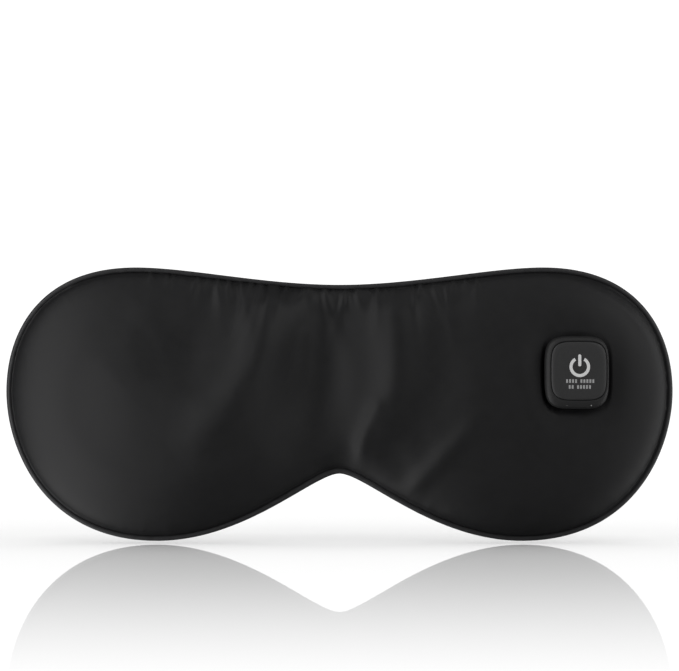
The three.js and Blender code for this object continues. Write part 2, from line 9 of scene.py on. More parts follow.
# %% Load the frame
import json
import bpy
import numpy as np
from mathutils.geometry import delaunay_2d_cdt
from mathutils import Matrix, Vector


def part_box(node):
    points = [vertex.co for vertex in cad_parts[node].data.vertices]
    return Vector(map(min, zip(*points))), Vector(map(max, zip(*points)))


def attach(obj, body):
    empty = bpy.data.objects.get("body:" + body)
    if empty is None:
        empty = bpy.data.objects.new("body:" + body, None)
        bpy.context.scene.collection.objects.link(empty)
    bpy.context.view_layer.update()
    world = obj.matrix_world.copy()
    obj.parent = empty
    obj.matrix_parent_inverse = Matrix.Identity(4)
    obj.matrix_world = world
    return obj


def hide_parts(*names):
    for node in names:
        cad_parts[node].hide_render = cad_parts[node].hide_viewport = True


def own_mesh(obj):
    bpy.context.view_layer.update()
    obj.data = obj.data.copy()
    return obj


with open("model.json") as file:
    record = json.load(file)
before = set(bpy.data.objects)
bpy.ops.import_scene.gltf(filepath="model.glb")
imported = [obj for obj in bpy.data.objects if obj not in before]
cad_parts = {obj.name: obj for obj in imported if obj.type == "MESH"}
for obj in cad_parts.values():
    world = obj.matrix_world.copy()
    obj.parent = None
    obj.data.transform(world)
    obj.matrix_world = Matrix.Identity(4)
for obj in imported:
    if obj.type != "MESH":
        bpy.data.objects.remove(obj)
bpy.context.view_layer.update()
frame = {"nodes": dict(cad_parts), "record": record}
MM = 0.001

# %% [markdown]
# ## The camera and the room
# The mask is looked at straight on with a long lens, from a little above its middle, so that it
# keeps its true proportions. It stands on a pale glossy table in a white room. A shader can
# answer each kind of ray on its own: what is seen directly and what lights matt surfaces is
# white, while the satin's soft gloss sees a dim studio and a dim table. So the black satin stays
# black, and only the softboxes draw its sheen. The softboxes light the mask and not the table,
# which light linking does.

# %% Camera
PIPING_LOW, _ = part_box("edge_piping")
LENS = 300.0
VIEW_WIDTH = 234.3 * MM
EYE_HEIGHT = 23.6 * MM
camera_data = bpy.data.cameras.new("camera")
camera_data.lens = LENS
camera = bpy.data.objects.new("camera", camera_data)
distance = VIEW_WIDTH * LENS / camera_data.sensor_width
camera.location = (0.0, PIPING_LOW.y - distance, EYE_HEIGHT)
camera.rotation_euler = (np.pi / 2, 0.0, 0.0)
bpy.context.scene.collection.objects.link(camera)
bpy.context.scene.camera = camera
print("camera stands", round(distance, 3), "m in front of the piping")

# %% World
scene = bpy.context.scene
scene.view_settings.view_transform = "Standard"
world = bpy.data.worlds.new("white_room")
world.use_nodes = True
scene.world = world
ROOM_WHITE = 1.12
STUDIO_DIM = 0.03


def soft_gloss_only(tree):
    """A socket that is 1 for the blurred rays of a soft gloss, and 0 for sharp or matt ones."""
    rays = tree.nodes.new("ShaderNodeLightPath")
    soft_gloss = tree.nodes.new("ShaderNodeMath")
    soft_gloss.operation = "SUBTRACT"
    soft_gloss.use_clamp = True
    tree.links.new(rays.outputs["Is Glossy Ray"], soft_gloss.inputs[0])
    tree.links.new(rays.outputs["Is Singular Ray"], soft_gloss.inputs[1])
    return soft_gloss.outputs["Value"]


strength = world.node_tree.nodes.new("ShaderNodeMix")
strength.data_type = "FLOAT"
strength.inputs[2].default_value = ROOM_WHITE
strength.inputs[3].default_value = STUDIO_DIM
background = world.node_tree.nodes["Background"]
background.inputs["Color"].default_value = (1.0, 1.0, 1.0, 1.0)
world.node_tree.links.new(soft_gloss_only(world.node_tree), strength.inputs[0])
world.node_tree.links.new(strength.outputs[0], background.inputs["Strength"])
print("room", ROOM_WHITE, "and dim studio", STUDIO_DIM)


# %% Softboxes
def softbox(name, place, aim, size, power):
    """A rectangular area light at place, turned to face aim."""
    data = bpy.data.lights.new(name, "AREA")
    data.shape = "RECTANGLE"
    data.size, data.size_y = size
    data.energy = power
    lamp = bpy.data.objects.new(name, data)
    lamp.location = place
    direction = lamp.location - type(lamp.location)(aim)
    lamp.rotation_euler = direction.to_track_quat("Z", "Y").to_euler()
    scene.collection.objects.link(lamp)
    return lamp


SOFTBOXES = {
    # name: place, the point it faces, width and height, all in metres, and power in watts
    "left_near": ((-0.30, -0.30, -0.05), (-0.09, 0, 0), (0.2, 0.4), 1.07),
    "left_side": ((-0.25, -0.10, -0.03), (-0.08, 0, 0), (0.15, 0.4), 0.28),
    "left_high": ((-0.50, -0.35, 0.50), (0, 0, 0), (0.5, 0.5), 2.7),
    "left_low": ((-0.30, -0.06, -0.30), (-0.07, 0, -0.02), (0.3, 0.3), 1.0),
    "right_front": ((0.45, -0.45, 0.10), (0.05, 0, 0), (0.4, 0.8), 1.5),
    "right_high": ((0.50, -0.35, 0.50), (0.05, 0, 0), (0.5, 0.5), 1.55),
    "right_side": ((0.40, 0.02, 0.0), (0.08, 0, 0), (0.2, 0.6), 1.0),
    "right_low": ((0.45, -0.12, -0.35), (0.08, 0, -0.02), (0.3, 0.3), 0.4),
    "overhead": ((0.0, -0.02, 0.90), (0, 0, 0), (1.2, 0.4), 1.6),
}
lamps = [softbox(name + "_softbox", *setting) for name, setting in SOFTBOXES.items()]
print("hung", len(lamps), "softboxes")

# %% Table
TABLE_HALF = 8.0
TABLE_Z = PIPING_LOW.z - 0.8 * MM
table_mesh = bpy.data.meshes.new("table")
table_mesh.from_pydata([(x * TABLE_HALF, y * TABLE_HALF, TABLE_Z)
                        for x, y in ((-1, -1), (1, -1), (1, 1), (-1, 1))], [], [(0, 1, 2, 3)])
table = bpy.data.objects.new("table", table_mesh)
scene.collection.objects.link(table)
print("table at", round(TABLE_Z / MM, 1), "mm")

# %% Table finish
# A white matt surface under a sharp gloss. The gloss dies away with the distance from the middle
# of the table, from GLOSS_NEAR to GLOSS_FAR, and is weaker where the table is seen from above.
TABLE_GLOSS = 0.58
GLOSS_NEAR, GLOSS_FAR = 0.05, 1.05
TABLE_SHADED = 0.12
table_look = bpy.data.materials.new("table_white")
table_look.use_nodes = True
t_nodes, t_links = table_look.node_tree.nodes, table_look.node_tree.links
t_nodes.clear()
matt = t_nodes.new("ShaderNodeBsdfDiffuse")
matt.inputs["Color"].default_value = (1.0, 1.0, 1.0, 1.0)
shine = t_nodes.new("ShaderNodeBsdfGlossy")
shine.inputs["Roughness"].default_value = 0.0
shaded = t_nodes.new("ShaderNodeBsdfDiffuse")
shaded.inputs["Color"].default_value = (TABLE_SHADED, TABLE_SHADED, TABLE_SHADED, 1.0)
table_place = t_nodes.new("ShaderNodeTexCoord")
from_middle = t_nodes.new("ShaderNodeVectorMath")
from_middle.operation = "LENGTH"
polish = t_nodes.new("ShaderNodeMapRange")
polish.interpolation_type = "SMOOTHSTEP"
polish.inputs["From Min"].default_value = GLOSS_NEAR
polish.inputs["From Max"].default_value = GLOSS_FAR
polish.inputs["To Min"].default_value = TABLE_GLOSS
polish.inputs["To Max"].default_value = 0.0
grazing = t_nodes.new("ShaderNodeLayerWeight")
softer = t_nodes.new("ShaderNodeMath")
softer.operation = "MULTIPLY"
polished = t_nodes.new("ShaderNodeMixShader")
seen = t_nodes.new("ShaderNodeMixShader")
table_out = t_nodes.new("ShaderNodeOutputMaterial")
for start, end in (
    (table_place.outputs["Object"], from_middle.inputs[0]),
    (from_middle.outputs["Value"], polish.inputs["Value"]),
    (polish.outputs["Result"], softer.inputs[0]),
    (grazing.outputs["Facing"], softer.inputs[1]),
    (softer.outputs["Value"], polished.inputs["Fac"]),
    (matt.outputs[0], polished.inputs[1]),
    (shine.outputs[0], polished.inputs[2]),
    (soft_gloss_only(table_look.node_tree), seen.inputs["Fac"]),
    (polished.outputs[0], seen.inputs[1]),
    (shaded.outputs[0], seen.inputs[2]),
    (seen.outputs[0], table_out.inputs["Surface"]),
):
    t_links.new(start, end)
table_mesh.materials.append(table_look)

# %% Keep the softboxes off the table
unlit = bpy.data.collections.new("unlit_by_softboxes")
unlit.objects.link(table)
unlit.collection_objects[0].light_linking.link_state = "EXCLUDE"
for lamp in lamps:
    lamp.light_linking.receiver_collection = unlit
    lamp.light_linking.blocker_collection = unlit

# %% [markdown]
# ## Finishes
# Every finish is a Principled surface fed by Object coordinates, so a pattern is fixed to the
# piece and has one scale everywhere. One builder makes the common part: a fine noise that varies
# colour and roughness a little and raises a slight bump. Woven goods add their own threads.


# %% The common finish
def finish(name, colour, roughness, metallic=0.0, grain=900.0, bump=0.08, vary=0.15, specular=0.5,
           sheen=0.0, coat=0.0):
    """A Principled finish whose colour and roughness follow a fine noise.

    colour is the mean colour, grain the noise's scale per metre, bump the relief of that noise,
    and vary how far colour and roughness stray from their mean, as a share."""
    look = bpy.data.materials.new(name)
    look.use_nodes = True
    nodes, links = look.node_tree.nodes, look.node_tree.links
    surface = nodes["Principled BSDF"]
    surface.inputs["Metallic"].default_value = metallic
    surface.inputs["Specular IOR Level"].default_value = specular
    surface.inputs["Sheen Weight"].default_value = sheen
    surface.inputs["Sheen Roughness"].default_value = 0.4
    surface.inputs["Coat Weight"].default_value = coat
    place = nodes.new("ShaderNodeTexCoord")
    noise = nodes.new("ShaderNodeTexNoise")
    noise.inputs["Scale"].default_value = grain
    noise.inputs["Detail"].default_value = 3.0
    links.new(place.outputs["Object"], noise.inputs["Vector"])
    tint = nodes.new("ShaderNodeValToRGB")
    for stop, share in zip(tint.color_ramp.elements, (1.0 - vary, 1.0 + vary)):
        stop.color = (*(min(c * share, 1.0) for c in colour), 1.0)
    tint.color_ramp.elements[0].position = 0.3
    tint.color_ramp.elements[1].position = 0.7
    links.new(noise.outputs["Fac"], tint.inputs["Fac"])
    links.new(tint.outputs["Color"], surface.inputs["Base Color"])
    gloss = nodes.new("ShaderNodeMapRange")
    gloss.inputs["To Min"].default_value = roughness * (1.0 - vary / 2)
    gloss.inputs["To Max"].default_value = min(roughness * (1.0 + vary / 2), 1.0)
    links.new(noise.outputs["Fac"], gloss.inputs["Value"])
    links.new(gloss.outputs["Result"], surface.inputs["Roughness"])
    relief = nodes.new("ShaderNodeBump")
    relief.inputs["Strength"].default_value = bump
    relief.inputs["Distance"].default_value = 0.1 * MM
    links.new(noise.outputs["Fac"], relief.inputs["Height"])
    links.new(relief.outputs["Normal"], surface.inputs["Normal"])
    return look


WAVE_UNIT = 0.314


def add_weave(look, pitch, depth, vector="Object", strength=0.35):
    """Adds threads to a finish: two sets of fine ribs, pitch metres apart, crossing each other.

    The height is wave(along) times wave(across), laid over the finish's own relief. Blender's
    wave at a scale of 1 repeats every WAVE_UNIT metres."""
    nodes, links = look.node_tree.nodes, look.node_tree.links
    place = nodes.new("ShaderNodeTexCoord")
    waves = []
    for direction, ratio in (("X", 1.0), ("Z" if vector == "Object" else "Y", 0.6)):
        wave = nodes.new("ShaderNodeTexWave")
        wave.bands_direction = direction
        wave.inputs["Scale"].default_value = ratio * WAVE_UNIT / pitch
        wave.inputs["Distortion"].default_value = 0.4
        wave.inputs["Detail Scale"].default_value = 2.0
        links.new(place.outputs[vector], wave.inputs["Vector"])
        waves.append(wave)
    crossing = nodes.new("ShaderNodeMath")
    crossing.operation = "MULTIPLY"
    links.new(waves[0].outputs["Fac"], crossing.inputs[0])
    links.new(waves[1].outputs["Fac"], crossing.inputs[1])
    threads = nodes.new("ShaderNodeBump")
    threads.inputs["Strength"].default_value = strength
    threads.inputs["Distance"].default_value = depth
    links.new(crossing.outputs["Value"], threads.inputs["Height"])
    surface = nodes["Principled BSDF"]
    under = surface.inputs["Normal"].links[0].from_socket
    links.new(under, threads.inputs["Normal"])
    links.new(threads.outputs["Normal"], surface.inputs["Normal"])
    return look


# %% The finishes of this mask
satin = add_weave(finish("black_satin", (0.0028, 0.0028, 0.0031), 0.56, grain=260.0, bump=0.1,
                         vary=0.10, specular=0.19),
                  0.28 * MM, 0.02 * MM)
# The piping is the covers' satin with its colour painted about three times lighter: painted sheen for the
# highlight its round tube catches.
satin_piping = add_weave(finish("satin_piping", (0.009, 0.009, 0.0096), 0.5, grain=420.0, bump=0.2,
                                vary=0.12, specular=0.22), 0.28 * MM, 0.02 * MM)
wadding = finish("white_wadding", (0.72, 0.70, 0.66), 0.95, grain=500.0, bump=0.9, vary=0.2, sheen=0.4)
webbing = add_weave(finish("black_webbing", (0.012, 0.012, 0.013), 0.8, grain=1500.0, bump=0.3,
                           vary=0.25, specular=0.3, sheen=0.25),
                    0.85 * MM, 0.25 * MM, vector="UV", strength=0.9)
thread = finish("black_thread", (0.02, 0.02, 0.022), 0.6, grain=4000.0, bump=0.5, vary=0.3, sheen=0.2)
shell_plastic = finish("black_shell", (0.006, 0.006, 0.0062), 0.55, grain=2600.0, bump=0.05, vary=0.12,
                       specular=0.22)
cap_plastic = finish("black_button", (0.009, 0.009, 0.0093), 0.55, grain=2600.0, bump=0.06, vary=0.1,
                     specular=0.3)
# Light grey on a black chin: painted glints, where the charging port's metal rim catches the light.
painted_glint_plastic = finish("painted_glint_plastic", (0.16, 0.16, 0.16), 0.3, grain=2600.0, bump=0.05, vary=0.1)
dark_plastic = finish("dark_plastic", (0.015, 0.015, 0.017), 0.38, grain=1800.0, bump=0.06, vary=0.15)
symbol_print = finish("symbol_print", (0.27, 0.27, 0.27), 0.45, grain=3000.0, bump=0.02, vary=0.06)
hint_print = finish("hint_print", (0.13, 0.13, 0.13), 0.45, grain=3000.0, bump=0.02, vary=0.06)
steel = finish("polished_steel", (0.56, 0.57, 0.59), 0.24, metallic=1.0, grain=1600.0, bump=0.05, vary=0.25)
print("made", len(bpy.data.materials), "materials so far")

# %% [markdown]
# ## The outline
# The mask's edge is one closed line: up into the nose notch, round each lobe, and down to the
# brow in the middle. A dressmaker's pattern curve is the same thing as a cubic curve with
# handles, so four of them make one half, and the other half is its mirror image.

# %% Pattern of the edge
HALF_WIDTH, SIDE_Z = 115 * MM, 4.3 * MM
NOSE_Z, BROW_Z = -24.1 * MM, 41.1 * MM
LOBE_LOW = (63 * MM, -47.3 * MM)
LOBE_HIGH = (70.3 * MM, 47.1 * MM)
PATTERN = [
    [(0, NOSE_Z), (8.8 * MM, NOSE_Z), (LOBE_LOW[0] - 30.7 * MM, LOBE_LOW[1]), LOBE_LOW],
    [LOBE_LOW, (LOBE_LOW[0] + 39 * MM, LOBE_LOW[1]), (HALF_WIDTH, SIDE_Z - 20 * MM), (HALF_WIDTH, SIDE_Z)],
    [(HALF_WIDTH, SIDE_Z), (HALF_WIDTH, SIDE_Z + 21 * MM), (LOBE_HIGH[0] + 33 * MM, LOBE_HIGH[1]), LOBE_HIGH],
    [LOBE_HIGH, (LOBE_HIGH[0] - 18.3 * MM, LOBE_HIGH[1]), (26 * MM, BROW_Z), (0, BROW_Z)],
]


def pattern_curve(handles, count):
    """(1-t)^3 a + 3(1-t)^2 t b + 3(1-t) t^2 c + t^3 d, for t from 0 up to but not at 1."""
    a, b, c, d = np.array(handles)
    t = np.linspace(0, 1, count, endpoint=False)[:, None]
    return (1 - t) ** 3 * a + 3 * (1 - t) ** 2 * t * b + 3 * (1 - t) * t**2 * c + t**3 * d


def spread_evenly(line, count, closed=True):
    """The same line, with count points at equal distances along it."""
    run = np.vstack([line, line[:1]]) if closed else line
    along = np.concatenate([[0], np.cumsum(np.linalg.norm(np.diff(run, axis=0), axis=1))])
    wanted = np.linspace(0, along[-1], count, endpoint=not closed)
    return np.stack([np.interp(wanted, along, column) for column in run.T], axis=1)


def mask_edge(count):
    """The closed edge, starting in the nose notch and going round by the right-hand lobe."""
    right = np.vstack([pattern_curve(part, 200) for part in PATTERN] + [[(0, BROW_Z)]])
    left = right[-2:0:-1] * (-1, 1)
    return spread_evenly(np.vstack([right, left]), count)


def inward(line):
    """Unit vectors to the left of a closed line's direction, which is into the mask."""
    along = np.roll(line, -1, axis=0) - np.roll(line, 1, axis=0)
    return np.stack([-along[:, 1], along[:, 0]], axis=1) / np.linalg.norm(along, axis=1)[:, None]


EDGE = mask_edge(600)
EDGE_LENGTH = np.linalg.norm(EDGE - np.roll(EDGE, 1, axis=0), axis=1).sum()
print("edge length", round(EDGE_LENGTH / MM), "mm")


# %% Distances from the edge
def distance_to_line(points, line, closed):
    """For each point: the distance to the nearest stretch of the line, and how far along it is.

    Each point is dropped on each stretch, the foot held between the stretch's two ends."""
    ends = np.roll(line, -1, axis=0) if closed else line[1:]
    starts = line if closed else line[:-1]
    step = ends - starts
    length = np.linalg.norm(step, axis=1)
    reached = np.concatenate([[0], np.cumsum(length)])[:-1]
    near, place = [], []
    for part in np.array_split(points, max(1, len(points) // 4000)):
        offset = part[:, None, :] - starts[None]
        share = np.clip((offset * step).sum(2) / (length**2), 0, 1)
        gap = np.linalg.norm(offset - share[:, :, None] * step, axis=2)
        best = gap.argmin(1)
        row = np.arange(len(part))
        near.append(gap[row, best])
        place.append(reached[best] + share[row, best] * length[best])
    return np.concatenate(near), np.concatenate(place)


def inside_edge(points):
    """True where a line drawn from the point to the right crosses the edge an odd number of times."""
    a, b = EDGE, np.roll(EDGE, -1, axis=0)
    x, z = points[:, 0, None], points[:, 1, None]
    spans = (a[:, 1] > z) != (b[:, 1] > z)
    with np.errstate(divide="ignore", invalid="ignore"):
        crossing = a[:, 0] + (z - a[:, 1]) * (b[:, 0] - a[:, 0]) / (b[:, 1] - a[:, 1])
    return ((spans & (x < crossing)).sum(1) % 2) == 1


# %% [markdown]
# ## From numbers to pieces
# Two ways of making a mesh serve nearly everything here. A grid surface joins rows of points
# that a formula gives. A flat panel of fabric is a crowd of evenly spaced points, joined into
# triangles that all have about the same size, which is what cloth needs to crumple evenly.

# %% Mesh makers
BLACK_SHELL = "black_shell"


def make_piece(name, points, faces, look, body="mask", slot=None, smooth=True):
    """A mesh object from arrays, with its finish, riding on a CAD body."""
    mesh = bpy.data.meshes.new(name)
    faces = faces.tolist() if isinstance(faces, np.ndarray) else faces
    mesh.from_pydata(np.asarray(points, float).tolist(), [], faces)
    mesh.polygons.foreach_set("use_smooth", np.full(len(mesh.polygons), smooth))
    mesh.materials.append(look)
    mesh.update()
    piece = bpy.data.objects.new(name, mesh)
    scene.collection.objects.link(piece)
    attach(piece, body)
    return piece


def grid_faces(rows, columns, round_rows, round_columns):
    """The quads of a grid of points; a direction that is round joins its last row to its first."""
    r = np.arange(rows if round_rows else rows - 1)[:, None]
    c = np.arange(columns if round_columns else columns - 1)[None]
    r2, c2 = (r + 1) % rows, (c + 1) % columns
    return np.stack(np.broadcast_arrays(r * columns + c, r * columns + c2, r2 * columns + c2,
                                        r2 * columns + c), axis=-1).reshape(-1, 4)


def face_normals(points, faces):
    """The cross product of two crossing lines of each face, for triangles and for quads."""
    p = points[faces]
    return np.cross(p[:, 2] - p[:, 0], p[:, -1] - p[:, 1])


def turned_out(points, faces):
    """The same faces, reversed if the volume under them comes out negative."""
    volume = (face_normals(points, faces) * points[faces].mean(1)).sum()
    return faces if volume >= 0 else faces[:, ::-1]


def turned_to(points, faces, outwards):
    """The same faces, reversed if they look against outwards, which is 1 or -1 along y."""
    return faces if face_normals(points, faces)[:, 1].sum() * outwards > 0 else faces[:, ::-1]


def grid_piece(name, surface, look, round_rows=False, **kwargs):
    """A piece over a (rows, columns, 3) array. Rows that end in a single point are closed by it."""
    rows, columns = surface.shape[:2]
    points = surface.reshape(-1, 3)
    faces = turned_out(points, grid_faces(rows, columns, round_rows, True))
    return make_piece(name, points, faces, look, **kwargs)


def applied(piece):
    """Works the piece's modifiers into its mesh."""
    ready = piece.evaluated_get(bpy.context.evaluated_depsgraph_get())
    mesh = bpy.data.meshes.new_from_object(ready)
    piece.modifiers.clear()
    piece.data = mesh
    return piece


def weld(piece, distance=0.001 * MM):
    """Merges points that lie together, such as the copies of a pole."""
    joined = piece.modifiers.new("weld", "WELD")
    joined.merge_threshold = distance
    return applied(piece)


# %% A flat panel of fabric, and a fine grid of the same shape
def cut_panel(inset, spacing):
    """Points and triangles of the mask's shape, cut inset metres inside its edge.

    The rim has evenly spaced points, and the inside is filled by rows that are shifted by half
    a step in turn, so that the triangles are nearly equal."""
    line = mask_edge(int(EDGE_LENGTH / spacing))
    rim = line + inward(line) * inset
    x = np.arange(-HALF_WIDTH, HALF_WIDTH, spacing)
    z = np.arange(LOBE_LOW[1], LOBE_HIGH[1], spacing * np.sqrt(3) / 2)
    grid_x, grid_z = np.meshgrid(x, z)
    grid_x = grid_x + (np.arange(len(z)) % 2)[:, None] * spacing / 2
    field = np.stack([grid_x.ravel(), grid_z.ravel()], axis=1)
    field = field[inside_edge(field)]
    field = field[distance_to_line(field, EDGE, True)[0] > inset + 0.7 * spacing]
    count = len(rim)
    loop = np.stack([np.arange(count), (np.arange(count) + 1) % count], axis=1)
    flat, _, triangles, *_ = delaunay_2d_cdt(np.vstack([rim, field]).tolist(), loop.tolist(), [], 1, 1e-6)
    return np.array(flat), np.array(triangles)


def ribbed_plan(inset, ribs, rows):
    """A (ribs, rows, 2) grid of the mask's shape: straight ribs from the top edge to the bottom.

    The edge is split at its leftmost and rightmost points. Rib j joins the points that lie the
    same share of the way along the two halves. Along a rib, the steps are shortest at its ends:
    v = w / 2 + (1 - cos(pi w)) / 4, for w from 0 to 1."""
    line = mask_edge(4000)
    line = line + inward(line) * inset
    line = np.roll(line, -line[:, 0].argmin(), axis=0)
    split = line[:, 0].argmax()
    lower = spread_evenly(line[: split + 1], ribs, closed=False)
    upper = spread_evenly(np.vstack([line[split:], line[:1]])[::-1], ribs, closed=False)
    w = np.linspace(0, 1, rows)
    v = (w / 2 + (1 - np.cos(np.pi * w)) / 4)[None, :, None]
    return upper[:, None] * (1 - v) + lower[:, None] * v


# %% [markdown]
# ## The satin covers
# Each cover is cut flat, a little larger than the space it fills, sewn down all round, and
# pushed out by the wadding. Modelled by hand, it would look like a moulded shell. So it is made
# the way it happens: the panel starts as a soft dome, and a cloth simulation presses it out
# while its rim stays sewn and its threads are given some spare length. What the simulation adds
# is kept within a small cap, because the wadding underneath holds the shape.

# %% The dome that the wadding gives
FRONT_EDGE_Y, FRONT_RISE = -8.8 * MM, 9.2 * MM
BACK_EDGE_Y, BACK_RISE = -6.4 * MM, 6.4 * MM
SEAM_Y = (FRONT_EDGE_Y + BACK_EDGE_Y) / 2
COVER_INSET, EDGE_ROLL = 2.2 * MM, 20 * MM
BRIDGE_HEIGHT, BRIDGE_HALF = 0.8, 50 * MM
LEFT_CROWN, RIGHT_CROWN = 4.0 * MM, 3.0 * MM
LEFT_LEAN = 3.4 * MM


def smooth_step(value, start, end):
    """0 before start, 1 after end, and 3t^2 - 2t^3 between them."""
    t = np.clip((value - start) / (end - start), 0, 1)
    return t * t * (3 - 2 * t)


def edge_rise(depth):
    """A round shoulder, (1 - (1 - t)^2.2)^0.6, from 0 at the cover's rim to 1 where it is full."""
    t = np.clip((depth - COVER_INSET) / EDGE_ROLL, 0, 1)
    return (1 - (1 - t) ** 2.2) ** 0.6


def front_dome(x, depth):
    """The wadding's front, lower over the nose bridge, with a slow crown over each lobe.

    The left lobe also leans: it rises slowly from its end towards the bridge, and falls again there."""
    lobe = smooth_step(np.abs(x), 0, BRIDGE_HALF)
    share = BRIDGE_HEIGHT + (1 - BRIDGE_HEIGHT) * lobe
    crown = np.where(x < 0, LEFT_CROWN, RIGHT_CROWN) * lobe * smooth_step(depth, 4 * MM, 46 * MM)
    lean = smooth_step(x, -112 * MM, -44 * MM) * (1 - smooth_step(x, -30 * MM, -4 * MM))
    lean *= LEFT_LEAN * smooth_step(depth, 2 * MM, 24 * MM)
    return FRONT_EDGE_Y - FRONT_RISE * share * edge_rise(depth) - crown - lean


def back_dome(x, depth):
    """The wadding's face side, level across the lobes and the bridge."""
    return BACK_EDGE_Y + BACK_RISE * edge_rise(depth)


# %% Cloth that is pressed out
def press_out(piece, sewn, spare, pressure, frames=24, bending=4.0):
    """The points of the piece after a cloth simulation with its sewn points held still.

    spare is the extra thread length, as a share. There is no gravity and no randomness."""
    held = piece.vertex_groups.new(name="sewn")
    held.add(np.flatnonzero(sewn).tolist(), 1.0, "REPLACE")
    cloth = piece.modifiers.new("press_out", "CLOTH")
    rules = cloth.settings
    rules.vertex_group_mass = held.name
    rules.quality = 6
    rules.mass = 0.15
    rules.tension_stiffness = 15
    rules.compression_stiffness = 15
    rules.shear_stiffness = 5
    rules.bending_stiffness = bending
    rules.air_damping = 2.0
    rules.shrink_min = -spare
    rules.use_pressure = True
    rules.uniform_pressure_force = pressure
    rules.effector_weights.gravity = 0
    cloth.collision_settings.use_collision = False
    cloth.point_cache.frame_start = 1
    cloth.point_cache.frame_end = frames
    for number in range(1, frames + 1):
        scene.frame_set(number)
    moved = piece.evaluated_get(bpy.context.evaluated_depsgraph_get()).data
    flat = np.empty(len(moved.vertices) * 3)
    moved.vertices.foreach_get("co", flat)
    piece.modifiers.clear()
    piece.vertex_groups.clear()
    scene.frame_set(1)
    return flat.reshape(-1, 3)


# %% Folds and gathers that a hand leaves
def cut_corners(rows, passes, closed):
    """Rounds a chain of rows: each step between two rows is replaced by points 1/4 and 3/4 along it."""
    for _ in range(passes):
        after = np.roll(rows, -1, axis=0) if closed else rows[1:]
        before = rows if closed else rows[:-1]
        pairs = np.stack([0.75 * before + 0.25 * after, 0.25 * before + 0.75 * after], axis=1)
        middle = pairs.reshape(-1, rows.shape[1])
        rows = middle if closed else np.vstack([rows[:1], middle, rows[-1:]])
    return rows


def soft_fold(points, path, width, height):
    """height * exp(-(d / width)^2), where d is the distance to the fold's path.

    A fold starts at full height and dies away over the second half of its path."""
    line = cut_corners(np.array(path) * MM, 3, False)
    near, along = distance_to_line(points, line, False)
    length = np.linalg.norm(np.diff(line, axis=0), axis=1).sum()
    return height * MM * np.exp(-((near / (width * MM)) ** 2)) * (1 - smooth_step(along / length, 0.55, 1.05))


def gathers(depth, along, first, last, count, height, reach, seed):
    """Short pleats that start at the seam between two places on it and die away inwards.

    Each one is a narrow bump across the seam's direction, leaning a little, times
    exp(-depth / reach), with its own width, length and height."""
    rng = np.random.default_rng(seed)
    middle = first + (last - first) * (np.arange(count) + rng.uniform(0.1, 0.9, count)) / count
    width = rng.uniform(0.5, 1.0, count) * MM
    length = reach * rng.uniform(0.5, 1.6, count)
    tall = height * rng.uniform(0.4, 1.2, count)
    lean = rng.uniform(-0.35, 0.35, count)
    total = np.zeros(len(depth))
    for k in range(count):
        across = (along - middle[k] - lean[k] * depth) / (width[k] * (1 + depth / length[k]))
        total += tall[k] * np.exp(-(across**2)) * np.exp(-depth / length[k])
    return total


# %% The front cover
CONTROLLER_LOW, CONTROLLER_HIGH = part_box("controller_housing")
CONTROLLER_X = (CONTROLLER_LOW.x + CONTROLLER_HIGH.x) / 2
CONTROLLER_Z = (CONTROLLER_LOW.z + CONTROLLER_HIGH.z) / 2
CONTROLLER_HALF = (11 * MM, 12.5 * MM)
FRONT_FACE_Y = FRONT_EDGE_Y - FRONT_RISE
PANEL_SPACING = 3.0 * MM
SEWN_INSET = 1.75 * MM
RIBS, ROWS = 620, 80


def outside_controller(x, z):
    """About how far a point lies outside the controller's rounded square, negative inside it."""
    q = ((x - CONTROLLER_X) / CONTROLLER_HALF[0]) ** 4 + ((z - CONTROLLER_Z) / CONTROLLER_HALF[1]) ** 4
    return (q**0.25 - 1) * CONTROLLER_HALF[0]


def spread_movement(plan, flat, movement, reach=3.6 * MM):
    """The movement of nearby panel points, averaged with weights exp(-(distance / reach)^2)."""
    total = []
    for part in np.array_split(plan, max(1, len(plan) // 4000)):
        gap2 = ((part[:, None] - flat[None]) ** 2).sum(2)
        weight = np.exp(-gap2 / reach**2)
        total.append(weight @ movement / weight.sum(1)[:, None])
    return np.concatenate(total)


def pressed_cover(name, dome, spare, pressure, cap, seed):
    """The fine plan of a cover, its depth and place along the edge, and its points in space.

    A coarse panel is pressed out by the simulation, its movement is held to the cap, and the
    fine grid follows it."""
    plan = ribbed_plan(SEWN_INSET, RIBS, ROWS).reshape(-1, 2)
    depth, along = distance_to_line(plan, EDGE, True)
    points = np.stack([plan[:, 0], dome(plan[:, 0], depth), plan[:, 1]], axis=1)
    flat, triangles = cut_panel(SEWN_INSET, PANEL_SPACING)
    flat_depth, _ = distance_to_line(flat, EDGE, True)
    rng = np.random.default_rng(seed)
    start = dome(flat[:, 0], flat_depth) + rng.normal(0, 0.01 * MM, len(flat))
    panel_points = np.stack([flat[:, 0], start, flat[:, 1]], axis=1)
    triangles = turned_to(panel_points, triangles, np.sign(start.mean() - SEAM_Y))
    panel = make_piece(name, panel_points, triangles, satin)
    pressed = press_out(panel, flat_depth < SEWN_INSET + 0.3 * MM, spare, pressure)
    bpy.data.objects.remove(panel)
    movement = pressed - panel_points
    size = np.linalg.norm(movement, axis=1)[:, None]
    movement *= np.minimum(1, cap / np.maximum(size, 1e-9))
    print(name, "moved", round(size.mean() / MM, 2), "mm on average, at most", round(size.max() / MM, 2))
    points += spread_movement(plan, flat, movement) * smooth_step(depth, SEWN_INSET, 2 * SEWN_INSET)[:, None]
    return plan, depth, along, points


